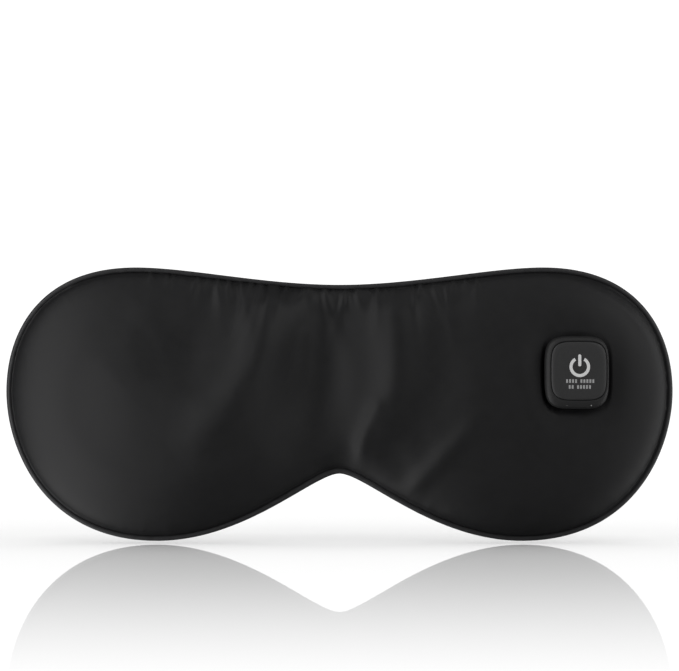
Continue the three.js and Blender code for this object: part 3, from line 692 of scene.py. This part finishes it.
def outward_normals(points):
    """The unit normals of the ribbed grid: along the ribs crossed with from rib to rib.

    They are turned to point away from the seam, and where a rib has no length they are level."""
    grid = points.reshape(RIBS, ROWS, 3)
    normal = np.cross(np.gradient(grid, axis=0), np.gradient(grid, axis=1)).reshape(-1, 3)
    size = np.linalg.norm(normal, axis=1)[:, None]
    outwards = np.sign(points[:, 1].mean() - SEAM_Y)
    normal = np.where(size > 1e-12, normal / np.maximum(size, 1e-12), (0, outwards, 0))
    return normal * np.where(normal[:, 1] * outwards < 0, -1, 1)[:, None]


def swollen(points, swell, depth):
    """The movement outwards by swell, which starts at the seam from nothing."""
    return outward_normals(points) * (swell * smooth_step(depth, SEWN_INSET, SEWN_INSET + 0.5 * MM))[:, None]


plan, depth, along, points = pressed_cover("front_panel", front_dome, 0.006, 2.0, 0.35 * MM, 3)
brow = EDGE_LENGTH / 2

# %% Fold the front cover
FRONT_FOLDS = [
    ([(-20, 41), (-24.5, 25), (-28, 12), (-35, 1), (-44, -7.5), (-56, -18)], 8.0, 3.7),
    ([(-47, 38), (-51, 20), (-56, 2)], 10, -1.9),
    ([(-58, 42), (-68, 26)], 7, 0.6),
    ([(-3, 38), (-4, 20), (-9, 0), (-22, -18)], 11, -2.4),
    ([(19, 38), (20, 22), (20, 6), (15, -5), (10, -14), (8, -32)], 7, 2.3),
    ([(13, -1), (7.5, -12), (6, -30)], 2.6, 0.6),
    ([(37, 38), (36, 5), (28, -14)], 10, -1.0),
    ([(21, -33), (36, -17.5), (52, -1)], 3.4, 0.95),
    ([(37.9, -38.3), (43.8, -42.4)], 2.2, 0.6),
    ([(-12, 24), (-13, 6)], 2.4, 0.35),
    ([(-27, 41), (-24.6, 34.5)], 0.9, 0.7),
    ([(-17, 41), (-21.5, 36)], 0.9, 0.7),
    ([(-22, 41), (-22.6, 38)], 2.0, -0.6),
    ([(76, 43.5), (94, 37), (105, 26), (109.5, 14)], 1.3, 0.7),
    ([(62, 12), (66, -4), (76, -14)], 6, 0.6),
]
PLEAT_LIMIT = 1.4 * MM
PLEATS = [
    # from, to (mm from the middle of the brow, + to the left), pleats, height, reach
    (-48, 66, 34, 1.0, 2.8),
    (-14, 44, 16, 1.7, 5.0),
    (-40, -22, 4, 1.2, 6.0),
    (20, 34, 3, 1.5, 9.0),
]
swell = sum(soft_fold(plan, *fold) for fold in FRONT_FOLDS)
swell *= smooth_step(depth, 1.5 * MM, 11 * MM)
pleats = 0
for number, (first, last, count, height, reach) in enumerate(PLEATS):
    pleats = pleats + gathers(depth - SEWN_INSET, along, brow + first * MM, brow + last * MM, count,
                              height * MM, reach * MM, 11 + number)
swell += PLEAT_LIMIT * np.tanh(pleats / PLEAT_LIMIT)
swell += gathers(depth - SEWN_INSET, along, 0, EDGE_LENGTH, 110, 0.14 * MM, 3 * MM, 31)
points += swollen(points, swell, depth)
print("front cover folded by", round(swell.min() / MM, 1), "to", round(swell.max() / MM, 1), "mm")

# %% Seat the controller in the front cover
# The satin sinks a little towards the controller, and more steeply in a narrow groove round it,
# which is wider below the controller's middle.
BASE_Y = FRONT_FACE_Y - 0.1 * MM
SINK, SINK_REACH = 0.7 * MM, 7 * MM
GROOVE_START, GROOVE_END, WIDER_BELOW = 0.2 * MM, 1.1, 0.3
around = outside_controller(plan[:, 0], plan[:, 1])
points[:, 1] += SINK * np.exp(-((np.maximum(around, 0) / SINK_REACH) ** 2))
sideways = np.abs(plan[:, 0] - CONTROLLER_X)
below = smooth_step(CONTROLLER_Z - plan[:, 1], 5 * MM, 14 * MM)
below *= 1 - smooth_step(sideways, 1 * MM, 12 * MM)
groove = 1 - smooth_step(around, GROOVE_START, (GROOVE_END + WIDER_BELOW * below) * MM)
points[:, 1] += (BASE_Y - points[:, 1]) * groove
points[:, 1] = np.where(around > 0, points[:, 1], np.maximum(points[:, 1], BASE_Y))


FABRIC = 0.3 * MM


def sewn_cover(name, points, node):
    """The cover's piece: the ribbed grid, welded where ribs shrink to a point, with a wall behind."""
    outwards = np.sign(points[:, 1].mean() - SEAM_Y)
    faces = turned_to(points, grid_faces(RIBS, ROWS, False, False), outwards)
    cover = make_piece(name, points, faces, satin, slot="black_satin")
    weld(cover, 0.004 * MM)
    wall = cover.modifiers.new("fabric_thickness", "SOLIDIFY")
    wall.thickness = FABRIC
    wall.offset = -1.0
    applied(cover)
    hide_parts(node)
    print(name, len(cover.data.polygons), "faces")
    return cover


front_satin = sewn_cover("front_satin_cover", points, "front_cover")

# %% The back cover
plan, depth, along, points = pressed_cover("back_panel", back_dome, 0.006, 1.5, 0.6 * MM, 5)
BACK_FOLDS = [
    ([(-10, 34), (-6, 5), (-3, -14)], 10, -0.8),
    ([(20, 34), (17, 4), (6, -14)], 9, 0.9),
    ([(-34, 34), (-28, -4)], 10, 0.9),
    ([(40, -36), (52, -14)], 6, 0.6),
    ([(-62, -38), (-46, -14)], 6, 0.6),
]
swell = sum(soft_fold(plan, *fold) for fold in BACK_FOLDS) * smooth_step(depth, 2 * MM, 11 * MM)
swell += gathers(depth - SEWN_INSET, along, brow - 60 * MM, brow + 60 * MM, 34, 0.4 * MM, 4 * MM, 41)
swell += gathers(depth - SEWN_INSET, along, 0, EDGE_LENGTH, 110, 0.14 * MM, 3 * MM, 43)
points += swollen(points, swell, depth)

# %% Press the back cover flat under the strap's feet
FLAT_X, FLAT_Z, FLAT_Y = (76 * MM, 83 * MM), (12.5 * MM, 19 * MM), 0.15 * MM
strap_foot = smooth_step(np.abs(plan[:, 0]), *FLAT_X)
strap_foot *= 1 - smooth_step(np.abs(plan[:, 1] - SIDE_Z), *FLAT_Z)
points[:, 1] = np.minimum(points[:, 1], points[:, 1] * (1 - strap_foot) + FLAT_Y * strap_foot)
back_satin = sewn_cover("back_satin_cover", points, "back_cover")

# %% [markdown]
# ## The piping
# A strip of satin rolled round a cord and sewn into the seam. It is a tube carried round the
# edge. A real one is never quite even: the strip puckers where it turns, so the tube's radius
# follows a sum of slow and quick waves.


# %% Roll the piping
def carry_round(line, normals, section):
    """A surface of (points on the line, points of the section): each section point is
    (distance inwards, y), and is set out from every point of the line."""
    inset, y = section[..., 0], section[..., 1]
    x = line[:, None, 0] + normals[:, None, 0] * inset
    z = line[:, None, 1] + normals[:, None, 1] * inset
    return np.stack([x, np.broadcast_to(y, x.shape), z], axis=-1)


PIPING_RADIUS = 0.98 * MM
PIPING_Y = SEAM_Y - 0.3 * MM
NOTCH_SWELL, NOTCH_REACH = 0.22, 24 * MM
turns = np.linspace(0, 2 * np.pi, 18, endpoint=False)
piping_line = mask_edge(1400)
run = np.linspace(0, 2 * np.pi, len(piping_line), endpoint=False)
uneven = 0.035 * np.sin(61 * run) + 0.03 * np.sin(97 * run + 1) + 0.02 * np.sin(173 * run + 2)
bulge = 1 + uneven[:, None] * (0.5 + 0.5 * np.cos(turns + 0.8 * np.sin(23 * run)[:, None]))
in_notch = np.exp(-((piping_line[:, 0] / NOTCH_REACH) ** 2)) * (piping_line[:, 1] < 0)
radius = (PIPING_RADIUS * (1 + NOTCH_SWELL * in_notch))[:, None]
tube = np.stack([radius * (1 + bulge * np.cos(turns)), PIPING_Y + radius * bulge * np.sin(turns)],
                axis=-1)
piping = grid_piece("satin_edge_piping", carry_round(piping_line, inward(piping_line), tube),
                    satin_piping, round_rows=True, slot="satin_piping")
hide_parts("edge_piping")
print("piping", len(piping.data.vertices), "points")

# %% [markdown]
# ## The wadding
# Two layers of soft wadding lie inside the covers. They are never seen from outside, yet they
# are what gives the mask its crown, so each is a real closed pad: the same dome moved inwards,
# with a thickness, and a slightly lumpy face.


# %% Two pads
WADDING_INSET, WADDING_SPACING = 7 * MM, 3.2 * MM
CONTROLLER_GAP = 4.6 * MM
LUMP_HEIGHT, LUMP_X, LUMP_Z = 0.08 * MM, 5 * MM, 4 * MM


def wadding_pad(name, node, dome, near, far, hole):
    """A closed pad between the dome moved by near and by far. A hole leaves room for the
    controller's fixings, CONTROLLER_GAP wider all round than the controller."""
    flat, triangles = cut_panel(WADDING_INSET, WADDING_SPACING)
    if hole:
        middle = flat[triangles].mean(1)
        triangles = triangles[outside_controller(middle[:, 0], middle[:, 1]) > CONTROLLER_GAP]
    depth, _ = distance_to_line(flat, EDGE, True)
    lumps = LUMP_HEIGHT * np.sin(flat[:, 0] / LUMP_X) * np.sin(flat[:, 1] / LUMP_Z)
    y = dome(flat[:, 0], depth) + near + lumps
    points = np.stack([flat[:, 0], y, flat[:, 1]], axis=1)
    triangles = turned_to(points, triangles, np.sign(near - far))
    pad = make_piece(name, points, triangles, wadding, slot="white_wadding")
    wall = pad.modifiers.new("pad_thickness", "SOLIDIFY")
    wall.thickness = abs(far - near)
    wall.offset = -1.0
    applied(pad)
    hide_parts(node)
    print(name, len(pad.data.polygons), "faces")


wadding_pad("front_wadding", "front_padding", front_dome, 4.2 * MM, 6.6 * MM, True)
wadding_pad("back_wadding", "back_padding", back_dome, -1.9 * MM, -4.1 * MM, False)

# %% [markdown]
# ## The controller
# A small moulded box with soft corners. Its plan is a rounded square of the kind
# |x/a|^4 + |z/b|^4 = 1, which has no straight sides and no sharp change of bend. The housing and
# the button are such squares stacked up at different sizes, and corner cutting turns the steps
# between them into smooth mouldings.

# %% Mouldings from rounded squares
AROUND = np.linspace(0, 2 * np.pi, 144, endpoint=False)
FACE_LEAN = 1.1


def rounded_square_surface(rows):
    """rows are (half width, half height, y, centre z) in millimetres from the controller's seat.

    Around the square, x = a * sign(cos) * sqrt(|cos|), and z likewise with sin. The face leans
    over to the right a little: its rows move sideways in the same measure as they move up."""
    half_x, half_z, y, centre = (rows[:, k, None] * MM for k in range(4))
    centre_x = CONTROLLER_X + centre * FACE_LEAN
    c, s = np.cos(AROUND), np.sin(AROUND)
    x = centre_x + half_x * np.sign(c) * np.sqrt(np.abs(c))
    z = CONTROLLER_Z + centre + half_z * np.sign(s) * np.sqrt(np.abs(s))
    return np.stack([x, np.broadcast_to(FRONT_FACE_Y + y, x.shape), z], axis=-1)


def closed_by_points(surface):
    """Adds a row that is a single point at each end, so that the form is closed."""
    ends = [surface[k].mean(0) for k in (0, -1)]
    first, last = (np.broadcast_to(end, surface[0].shape) for end in ends)
    return np.concatenate([first[None], surface, last[None]])


# %% Housing
HOUSING_ROWS = np.array([
    (8.9, 10.4, 2.2, 0), (8.9, 10.4, 0.4, 0), (8.9, 10.4, -0.25, 0), (9.6, 11.1, -0.3, 0),
    (10.6, 12.1, -0.3, 0), (10.95, 12.45, -0.4, 0), (11, 12.5, -1.2, 0), (11, 12.5, -3.6, 0),
    (10.95, 12.4, -4.9, 0), (10.75, 11.95, -5.9, 0.1), (10.35, 11.2, -6.5, 0.35),
    (9.95, 10.5, -6.78, 0.6), (9.7, 10.2, -6.8, 0.6), (9.62, 10.12, -6.6, 0.6),
    (9.62, 10.12, -5.9, 0.6), (9.9, 10.6, -5.8, 0.4), (10.1, 11.4, -5.75, 0), (10.1, 11.4, -1.2, 0),
    (9.6, 10.9, -1.05, 0), (8.2, 9.7, -1.0, 0), (7.9, 9.4, -0.9, 0), (7.9, 9.4, 2.0, 0), (8.1, 9.6, 2.2, 0),
])
housing = grid_piece("controller_shell", rounded_square_surface(cut_corners(HOUSING_ROWS, 2, True)),
                     shell_plastic, round_rows=True, slot=BLACK_SHELL)
USB_LOW, USB_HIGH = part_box("usb_socket_shell")


def slot_rod(name, grow, low_z, high_z, centre, size):
    """A rod along z whose section is a slot with round ends, for cutting the socket's mouth."""
    turn = np.linspace(0, 2 * np.pi, 64, endpoint=False)
    radius = size[1] / 2 + grow
    reach = size[0] / 2 - size[1] / 2
    x = centre[0] + np.sign(np.cos(turn)) * reach + radius * np.cos(turn)
    y = centre[1] + radius * np.sin(turn)
    ends = [np.stack([x, y, np.full_like(x, z)], axis=-1) for z in (low_z, high_z)]
    return weld(grid_piece(name, closed_by_points(np.array(ends)), shell_plastic))


usb_centre = ((USB_LOW.x + USB_HIGH.x) / 2, (USB_LOW.y + USB_HIGH.y) / 2)
usb_size = (USB_HIGH.x - USB_LOW.x, USB_HIGH.y - USB_LOW.y)
PORT_GAP, PORT_BELOW, PORT_DEPTH = 0.25 * MM, 2 * MM, 3.5 * MM
port_cutter = slot_rod("port_cutter", PORT_GAP, USB_LOW.z - PORT_BELOW, USB_LOW.z + PORT_DEPTH,
                       usb_centre, usb_size)
mouth = housing.modifiers.new("socket_mouth", "BOOLEAN")
mouth.operation = "DIFFERENCE"
mouth.solver = "EXACT"
mouth.object = port_cutter
applied(housing)
bpy.data.objects.remove(port_cutter)
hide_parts("controller_housing")
print("housing", len(housing.data.vertices), "points")

# %% Button
BUTTON_ROWS = np.array([
    (9.85, 10.6, -5.0, 0.45), (9.85, 10.6, -5.45, 0.45), (9.6, 10.2, -5.5, 0.55),
    (9.5, 10.0, -5.6, 0.6), (9.5, 10.0, -6.5, 0.6), (9.46, 9.96, -6.75, 0.6), (9.2, 9.7, -6.95, 0.6),
    (8.6, 9.1, -7.12, 0.6), (7.6, 8.1, -7.2, 0.6), (5, 5.5, -7.2, 0.6), (2, 2.2, -7.2, 0.6),
])
button_surface = closed_by_points(rounded_square_surface(cut_corners(BUTTON_ROWS, 2, False)))
button = grid_piece("press_button", button_surface, cap_plastic, body="button", slot=BLACK_SHELL)
weld(button)
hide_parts("button_cap")

# %% Two port marks on the chin: light grey dots whose colour is a painted glint of the charging port's rim
BUMP_ROOT = 0.4 * MM


def dome_bumps(name, centres, radius, height, look, **kwargs):
    """Low round bumps that look towards -y: the rim is a circle, and the top follows a cosine."""
    turn = np.linspace(0, 2 * np.pi, 20, endpoint=False)
    share = np.array([1.0, 0.85, 0.6, 0.3, 0.0])[:, None]
    x, z = radius * share * np.cos(turn), radius * share * np.sin(turn)
    y = np.broadcast_to(-height * np.cos(share * np.pi / 2), x.shape)
    shape = np.stack([x, y, z], axis=-1)
    base = shape[:1] * (1, 0, 1) + (0, BUMP_ROOT, 0)
    shape = np.concatenate([base, shape])
    per = shape.shape[0] * len(turn)
    points = (np.array(centres)[:, None] + shape.reshape(1, -1, 3)).reshape(-1, 3)
    one = grid_faces(shape.shape[0], len(turn), False, True)[:, ::-1]
    faces = (one[None] + per * np.arange(len(centres))[:, None, None]).reshape(-1, 4)
    return weld(make_piece(name, points, faces, look, **kwargs))


# The dots' light grey colour is a painted glint of the port's rim; only their low bumps are shape.
MARK_RADIUS, MARK_HEIGHT = 0.42 * MM, 0.3 * MM
MARK_Y = FRONT_FACE_Y - 6.0 * MM
MARK_Z = CONTROLLER_Z - 11.1 * MM
marks = [(CONTROLLER_X + shift * MM, MARK_Y, MARK_Z) for shift in (-3.4, 4.9)]
dome_bumps("port_glint_dots", marks, MARK_RADIUS, MARK_HEIGHT, painted_glint_plastic, slot=BLACK_SHELL)
print("port marks", len(marks))

# %% Generic print under the symbol
# Two rows of plain blocks stand where such buttons carry a short hint. They spell nothing.
# Each block is a prism of three rings, each ring a share of BLOCK_SIZE at a height above the face.
BLOCK_SIZE = (0.62 * MM, 1.25 * MM)
BLOCK_PITCH = 1.02 * MM
BLOCK_RINGS = ((1.0, 0.02), (1.0, -0.04), (0.8, -0.06))
GROUP_GAP = 0.8
BUTTON_FACE_Y = FRONT_FACE_Y - 7.2 * MM
PRINT_X = CONTROLLER_X + 1.1 * MM
PRINT_ROWS = (((4, 5), CONTROLLER_Z - 2.9 * MM), ((2, 5), CONTROLLER_Z - 4.9 * MM))


def block_row(groups, z):
    """The x and z of every block in a row of groups, with GROUP_GAP pitches between groups."""
    places = np.concatenate([np.arange(n) + sum(groups[:k]) + GROUP_GAP * k
                             for k, n in enumerate(groups)])
    x = PRINT_X + (places - places.mean()) * BLOCK_PITCH
    return np.stack([x, np.full_like(x, z)], axis=1)


rows = np.vstack([block_row(groups, z) for groups, z in PRINT_ROWS])
corner_x = np.array([-1, 1, 1, -1]) * BLOCK_SIZE[0] / 2
corner_z = np.array([-1, -1, 1, 1]) * BLOCK_SIZE[1] / 2
blocks = []
for share, y in BLOCK_RINGS:
    blocks.append(np.stack([rows[:, None, 0] + corner_x * share,
                            np.full((len(rows), 4), BUTTON_FACE_Y + y * MM),
                            rows[:, None, 1] + corner_z * share], axis=-1))
blocks = np.stack(blocks, axis=1).reshape(-1, 3)
side = grid_faces(3, 4, False, True)
ends = np.array([[3, 2, 1, 0], [8, 9, 10, 11]])
one = np.vstack([side, ends])
faces = (one[None] + 12 * np.arange(len(rows))[:, None, None]).reshape(-1, 4)
make_piece("hint_blocks", blocks, turned_out(blocks, faces), hint_print, body="button",
           slot="symbol_print", smooth=False)
print("hint blocks", len(rows))

# %% [markdown]
# ## The strap
# Elastic webbing, 25 mm wide, sewn to the face side at both ends. It is a flat section with
# round edges carried along a level path: off its sewn foot, round the side of the head, and
# through a ring and a slider at the back. Its own map coordinates run along and across it in
# metres, so the ribs of the weave follow every bend.

# %% Strap sizes, taken from the frame
STRAP_LOW, STRAP_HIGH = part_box("long_strap")
RING_LOW, RING_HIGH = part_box("strap_ring")
STRAP_WIDTH = STRAP_HIGH.z - STRAP_LOW.z
STRAP_Z = (STRAP_HIGH.z + STRAP_LOW.z) / 2
THICKNESS = 1.2 * MM
STRAP_SIDE_X = STRAP_HIGH.x - THICKNESS / 2
STRAP_BACK_Y = STRAP_HIGH.y - THICKNESS / 2
RING_WIRE = 1.1 * MM
RING_BARS = (RING_LOW.x + RING_WIRE, RING_HIGH.x - RING_WIRE)
RING_Y = (RING_LOW.y + RING_HIGH.y) / 2
TURN_RADIUS = STRAP_BACK_Y - RING_Y
BEND, CORNER = 6 * MM, 60 * MM
FOOT_X, FOOT_Y = 84 * MM, 0.9 * MM


def bend(x, y, radius, start, end, steps=40):
    """Points on a circle round (x, y), from start to end degrees."""
    turn = np.radians(np.linspace(start, end, steps))
    return np.stack([x + radius * np.cos(turn), y + radius * np.sin(turn)], axis=1)


def strap_side():
    """From the sewn foot, round the side of the head, to the straight stretch at the back."""
    return np.vstack([
        [(FOOT_X, FOOT_Y)],
        bend(STRAP_SIDE_X - BEND, FOOT_Y + BEND, BEND, -90, 0),
        bend(STRAP_SIDE_X - CORNER, STRAP_BACK_Y - CORNER, CORNER, 0, 90, 90),
    ])


def web_band(name, line, node, body="mask", step=1.0 * MM):
    """A band of webbing along a level line of (x, y) points.

    Its section is a stadium: two flat faces, slightly fuller in the middle, and round edges."""
    length = np.linalg.norm(np.diff(line, axis=0), axis=1).sum()
    path = spread_evenly(line, max(8, int(length / step)), closed=False)
    along = np.gradient(path, axis=0)
    along /= np.linalg.norm(along, axis=1)[:, None]
    across = np.stack([-along[:, 1], along[:, 0]], axis=1)
    turn = np.linspace(0, 2 * np.pi, 40, endpoint=False)
    level = np.sign(np.cos(turn)) * np.abs(np.cos(turn)) ** 0.7 * STRAP_WIDTH / 2
    thick = np.sign(np.sin(turn)) * np.abs(np.sin(turn)) ** 0.35 * THICKNESS / 2
    selvedge = 1 + 0.06 * smooth_step(np.abs(level), 0.40 * STRAP_WIDTH, 0.46 * STRAP_WIDTH)
    offset = np.minimum(np.abs(thick * selvedge), THICKNESS / 2) * np.sign(thick)
    x = path[:, None, 0] + across[:, None, 0] * offset
    y = path[:, None, 1] + across[:, None, 1] * offset
    z = np.broadcast_to(STRAP_Z + level, x.shape)
    surface = closed_by_points(np.stack([x, y, z], axis=-1))
    band = grid_piece(name, surface, webbing, body=body, slot="black_webbing")
    run = np.linspace(0, length, len(path))
    u = np.concatenate([run[:1], run, run[-1:]])[:, None] + np.zeros(len(turn))
    v = np.broadcast_to(level, u.shape)
    loops = np.empty(len(band.data.loops), int)
    band.data.loops.foreach_get("vertex_index", loops)
    sheet_map = band.data.uv_layers.new(name="band")
    sheet_map.data.foreach_set("uv", np.stack([u.ravel()[loops], v.ravel()[loops]], axis=1).ravel())
    weld(band)
    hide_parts(node)
    print(name, "is", round(length / MM), "mm long")
    return band


# %% The two straps, each folded round a bar of the ring
LONG_TAIL, SHORT_TAIL = 2.2 * MM, 9 * MM
FOLD_Y = RING_Y - TURN_RADIUS
long_line = np.vstack([strap_side(), bend(RING_BARS[1], RING_Y, TURN_RADIUS, 90, 270),
                       [(RING_BARS[1] + LONG_TAIL, FOLD_Y)]])
web_band("long_elastic_strap", long_line, "long_strap")
short_line = np.vstack([strap_side() * (-1, 1), bend(RING_BARS[0], RING_Y, TURN_RADIUS, 90, -90),
                        [(RING_BARS[0] - SHORT_TAIL, FOLD_Y)]])
web_band("short_elastic_strap", short_line, "short_strap")

# %% The long strap's sewn end loop, round the slider's bar
LOOP_LOW, LOOP_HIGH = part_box("strap_end_loop")
LOOP_RADIUS = 1.6 * MM
LOOP_BACK = ((-3 * MM, 1.2 * MM), (-7.5 * MM, 0.0))
bar_x = LOOP_HIGH.x - LOOP_RADIUS - THICKNESS / 2
bar_y = LOOP_LOW.y + LOOP_RADIUS + THICKNESS / 2
loop_line = np.vstack([[(LOOP_LOW.x, bar_y - LOOP_RADIUS)], bend(bar_x, bar_y, LOOP_RADIUS, -90, 90),
                       [(bar_x + dx, bar_y + dy) for dx, dy in LOOP_BACK]])
web_band("strap_sewn_loop", loop_line, "strap_end_loop", body="slider", step=0.6 * MM)

# %% The doubled layer between the ring and the slider, which gets shorter as the slider moves
LAYER_LOW, LAYER_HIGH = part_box("strap_return_layer")
layer_line = np.array([(LAYER_LOW.x, FOLD_Y), (LAYER_HIGH.x, bar_y - LOOP_RADIUS)])
return_layer = web_band("strap_doubled_layer", layer_line, "strap_return_layer")
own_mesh(return_layer)

# %% Ring
half_x, half_z = (RING_BARS[1] - RING_BARS[0]) / 2, (RING_HIGH.z - RING_LOW.z) / 2 - RING_WIRE
RING_CORNER = 1.8 * MM
ring_line = np.vstack([
    bend(sx * (half_x - RING_CORNER), sz * (half_z - RING_CORNER), RING_CORNER, start, start + 90, 12)
    for sx, sz, start in ((1, 1, 0), (-1, 1, 90), (-1, -1, 180), (1, -1, 270))])
ring_line = spread_evenly(ring_line, 220) + ((RING_BARS[0] + RING_BARS[1]) / 2, STRAP_Z)
wire = np.stack([RING_WIRE * np.cos(turns), RING_Y + RING_WIRE * np.sin(turns)], axis=-1)
ring = grid_piece("strap_wire_ring", carry_round(ring_line, inward(ring_line), wire), steel,
                  round_rows=True, slot="polished_steel")
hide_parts("strap_ring")
print("ring", len(ring.data.vertices), "points")


# %% Slider
def softened_copy(name, node, width, look, body):
    """A copy of a CAD node with its loose triangles merged and its sharp edges rounded."""
    source = frame["nodes"][node]
    mesh = source.data.copy()
    mesh.materials.clear()
    mesh.materials.append(look)
    piece = bpy.data.objects.new(name, mesh)
    scene.collection.objects.link(piece)
    weld(piece)
    rounding = piece.modifiers.new("soft_edges", "BEVEL")
    rounding.width = width
    rounding.segments = 3
    rounding.limit_method = "ANGLE"
    rounding.angle_limit = np.radians(40)
    applied(piece)
    piece.data.polygons.foreach_set("use_smooth", np.full(len(piece.data.polygons), True))
    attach(piece, body)
    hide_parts(node)
    print(name, len(piece.data.vertices), "points")


softened_copy("moulded_slider", "strap_slider", 0.3 * MM, dark_plastic, "slider")


# %% [markdown]
# ## Stitching
# The strap's feet are held by a sewn box with a cross in it, and the folds by short rows. Each
# stitch is a small spindle of thread lying on the webbing, with the next one a step further on.

# %% Stitch maker
STITCH = 2.3 * MM
STITCH_SHARE = 0.8
THREAD_LIFT, THREAD_SUNK = 0.12 * MM, 0.05 * MM


def stitch_rows(name, rows, outward, body="mask", radius=0.22 * MM):
    """Spindles of thread along straight rows, each row a (start, end) pair of points.

    A spindle's radius follows the root of sin, full in the middle and thin at its ends."""
    places, directions = [], []
    for start, end in rows:
        start, end = np.array(start), np.array(end)
        span = np.linalg.norm(end - start)
        count = max(1, int(round(span / STITCH)))
        middle = (np.arange(count) + 0.5) / count
        places.append(start + (end - start) * middle[:, None])
        directions.append(np.broadcast_to((end - start) / span, (count, 3)))
    places, directions = np.vstack(places), np.vstack(directions)
    outward = np.broadcast_to(np.array(outward, float), places.shape)
    across = np.cross(directions, outward)
    t = np.linspace(0, 1, 7)
    turn = np.linspace(0, 2 * np.pi, 8, endpoint=False)
    run = (t - 0.5) * STITCH_SHARE * STITCH
    swell = radius * np.sin(np.pi * np.clip(t, 0.02, 0.98)) ** 0.5
    lift = THREAD_LIFT * np.sin(np.pi * t) - THREAD_SUNK
    points = (places[:, None, None] + directions[:, None, None] * run[:, None, None]
              + across[:, None, None] * (swell[:, None] * np.cos(turn))[..., None]
              + outward[:, None, None] * (swell[:, None] * np.sin(turn) + lift[:, None])[..., None])
    per = len(t) * len(turn)
    first = per * np.arange(len(places))[:, None]
    side = grid_faces(len(t), len(turn), False, True)
    faces = (side[None] + first[..., None]).reshape(-1, 4)
    caps = np.concatenate([np.arange(8)[::-1][None] + first, np.arange(per - 8, per)[None] + first])
    make_piece(name, points.reshape(-1, 3), faces.tolist() + caps.tolist(), thread, body=body,
               slot="black_webbing")
    print(name, len(places), "stitches")


def box_and_cross(centre_x, y, half_x, half_z):
    """The rows of a sewn box with a cross in it, on a face that looks along y."""
    corners = [np.array([centre_x + sx * half_x, y, STRAP_Z + sz * half_z])
               for sx, sz in ((-1, -1), (1, -1), (1, 1), (-1, 1))]
    sides = [(corners[k], corners[(k + 1) % 4]) for k in range(4)]
    return sides + [(corners[0], corners[2]), (corners[1], corners[3])]


# %% Sew the strap
SEWN_X, SEWN_HALF_X, SEWN_HALF_Z = 92 * MM, 6.5 * MM, 9.5 * MM
TACK_HALF = 10.5 * MM


def tack(name, face_y, places, body="mask"):
    """Upright rows of stitches over the strap's width, on a face that looks towards -y."""
    rows = [((x, face_y, STRAP_Z - TACK_HALF), (x, face_y, STRAP_Z + TACK_HALF)) for x in places]
    stitch_rows(name, rows, (0, -1, 0), body=body)


for side_name, sign in (("left", -1), ("right", 1)):
    sewn_box = box_and_cross(sign * SEWN_X, FOOT_Y + THICKNESS / 2, SEWN_HALF_X, SEWN_HALF_Z)
    stitch_rows(f"{side_name}_foot_stitching", sewn_box, (0, 1, 0))
tack("short_strap_tack", FOLD_Y - THICKNESS / 2, (RING_BARS[0] - 4.5 * MM, RING_BARS[0] - 7 * MM))
tack("loop_tack", bar_y - LOOP_RADIUS - THICKNESS / 2, (bar_x - 4 * MM, bar_x - 6.5 * MM), "slider")

# %% [markdown]
# ## What is inside
# The board, switch, motors, battery, film, sensors and leads are CAD nodes, and stay as they
# are. They only need their own finishes, given by the material slot that the record names.

# %% Finishes of the inner parts
INNER = {
    "green_board": finish("green_board", (0.02, 0.12, 0.06), 0.35, grain=1200.0, vary=0.3, coat=0.3),
    "red_stem": finish("red_stem", (0.3, 0.04, 0.03), 0.4, grain=1500.0),
    "lamp_lens": finish("lamp_lens", (0.85, 0.84, 0.76), 0.25, grain=1500.0, vary=0.05, coat=0.4),
    "heavy_alloy": finish("heavy_alloy", (0.35, 0.34, 0.33), 0.42, metallic=1.0, grain=2600.0, bump=0.3),
    "grey_silicone": finish("grey_silicone", (0.5, 0.52, 0.54), 0.65, grain=900.0),
    "heater_film": add_weave(finish("heater_film", (0.03, 0.03, 0.035), 0.35, grain=400.0, coat=0.2),
                             4 * MM, 0.1 * MM, strength=0.5),
    "copper_pad": finish("copper_pad", (0.6, 0.3, 0.15), 0.35, metallic=1.0, grain=1800.0),
    "foil_pouch": finish("foil_pouch", (0.6, 0.62, 0.65), 0.32, metallic=0.9, grain=300.0, bump=0.4),
    "sensor_resin": finish("sensor_resin", (0.02, 0.02, 0.02), 0.2, grain=900.0, coat=0.5),
    "cutoff_ceramic": finish("cutoff_ceramic", (0.6, 0.57, 0.48), 0.3, grain=1200.0, coat=0.3),
    "blue_sheath": finish("blue_sheath", (0.03, 0.08, 0.3), 0.5, grain=900.0),
    "red_sheath": finish("red_sheath", (0.3, 0.03, 0.03), 0.5, grain=900.0),
    "grey_sheath": finish("grey_sheath", (0.4, 0.4, 0.4), 0.5, grain=900.0),
    "black_sheath": finish("black_sheath", (0.015, 0.015, 0.015), 0.5, grain=900.0),
    "black_shell": shell_plastic,
    "dark_plastic": dark_plastic,
    "symbol_print": symbol_print,
    "polished_steel": steel,
    "black_satin": satin,
    "satin_piping": satin_piping,
    "white_wadding": wadding,
    "black_webbing": webbing,
}
for part in frame["record"]["subparts"]:
    node = frame["nodes"][part["node"]]
    node.data.materials.clear()
    node.data.materials.append(INNER[part["material_slot"]])
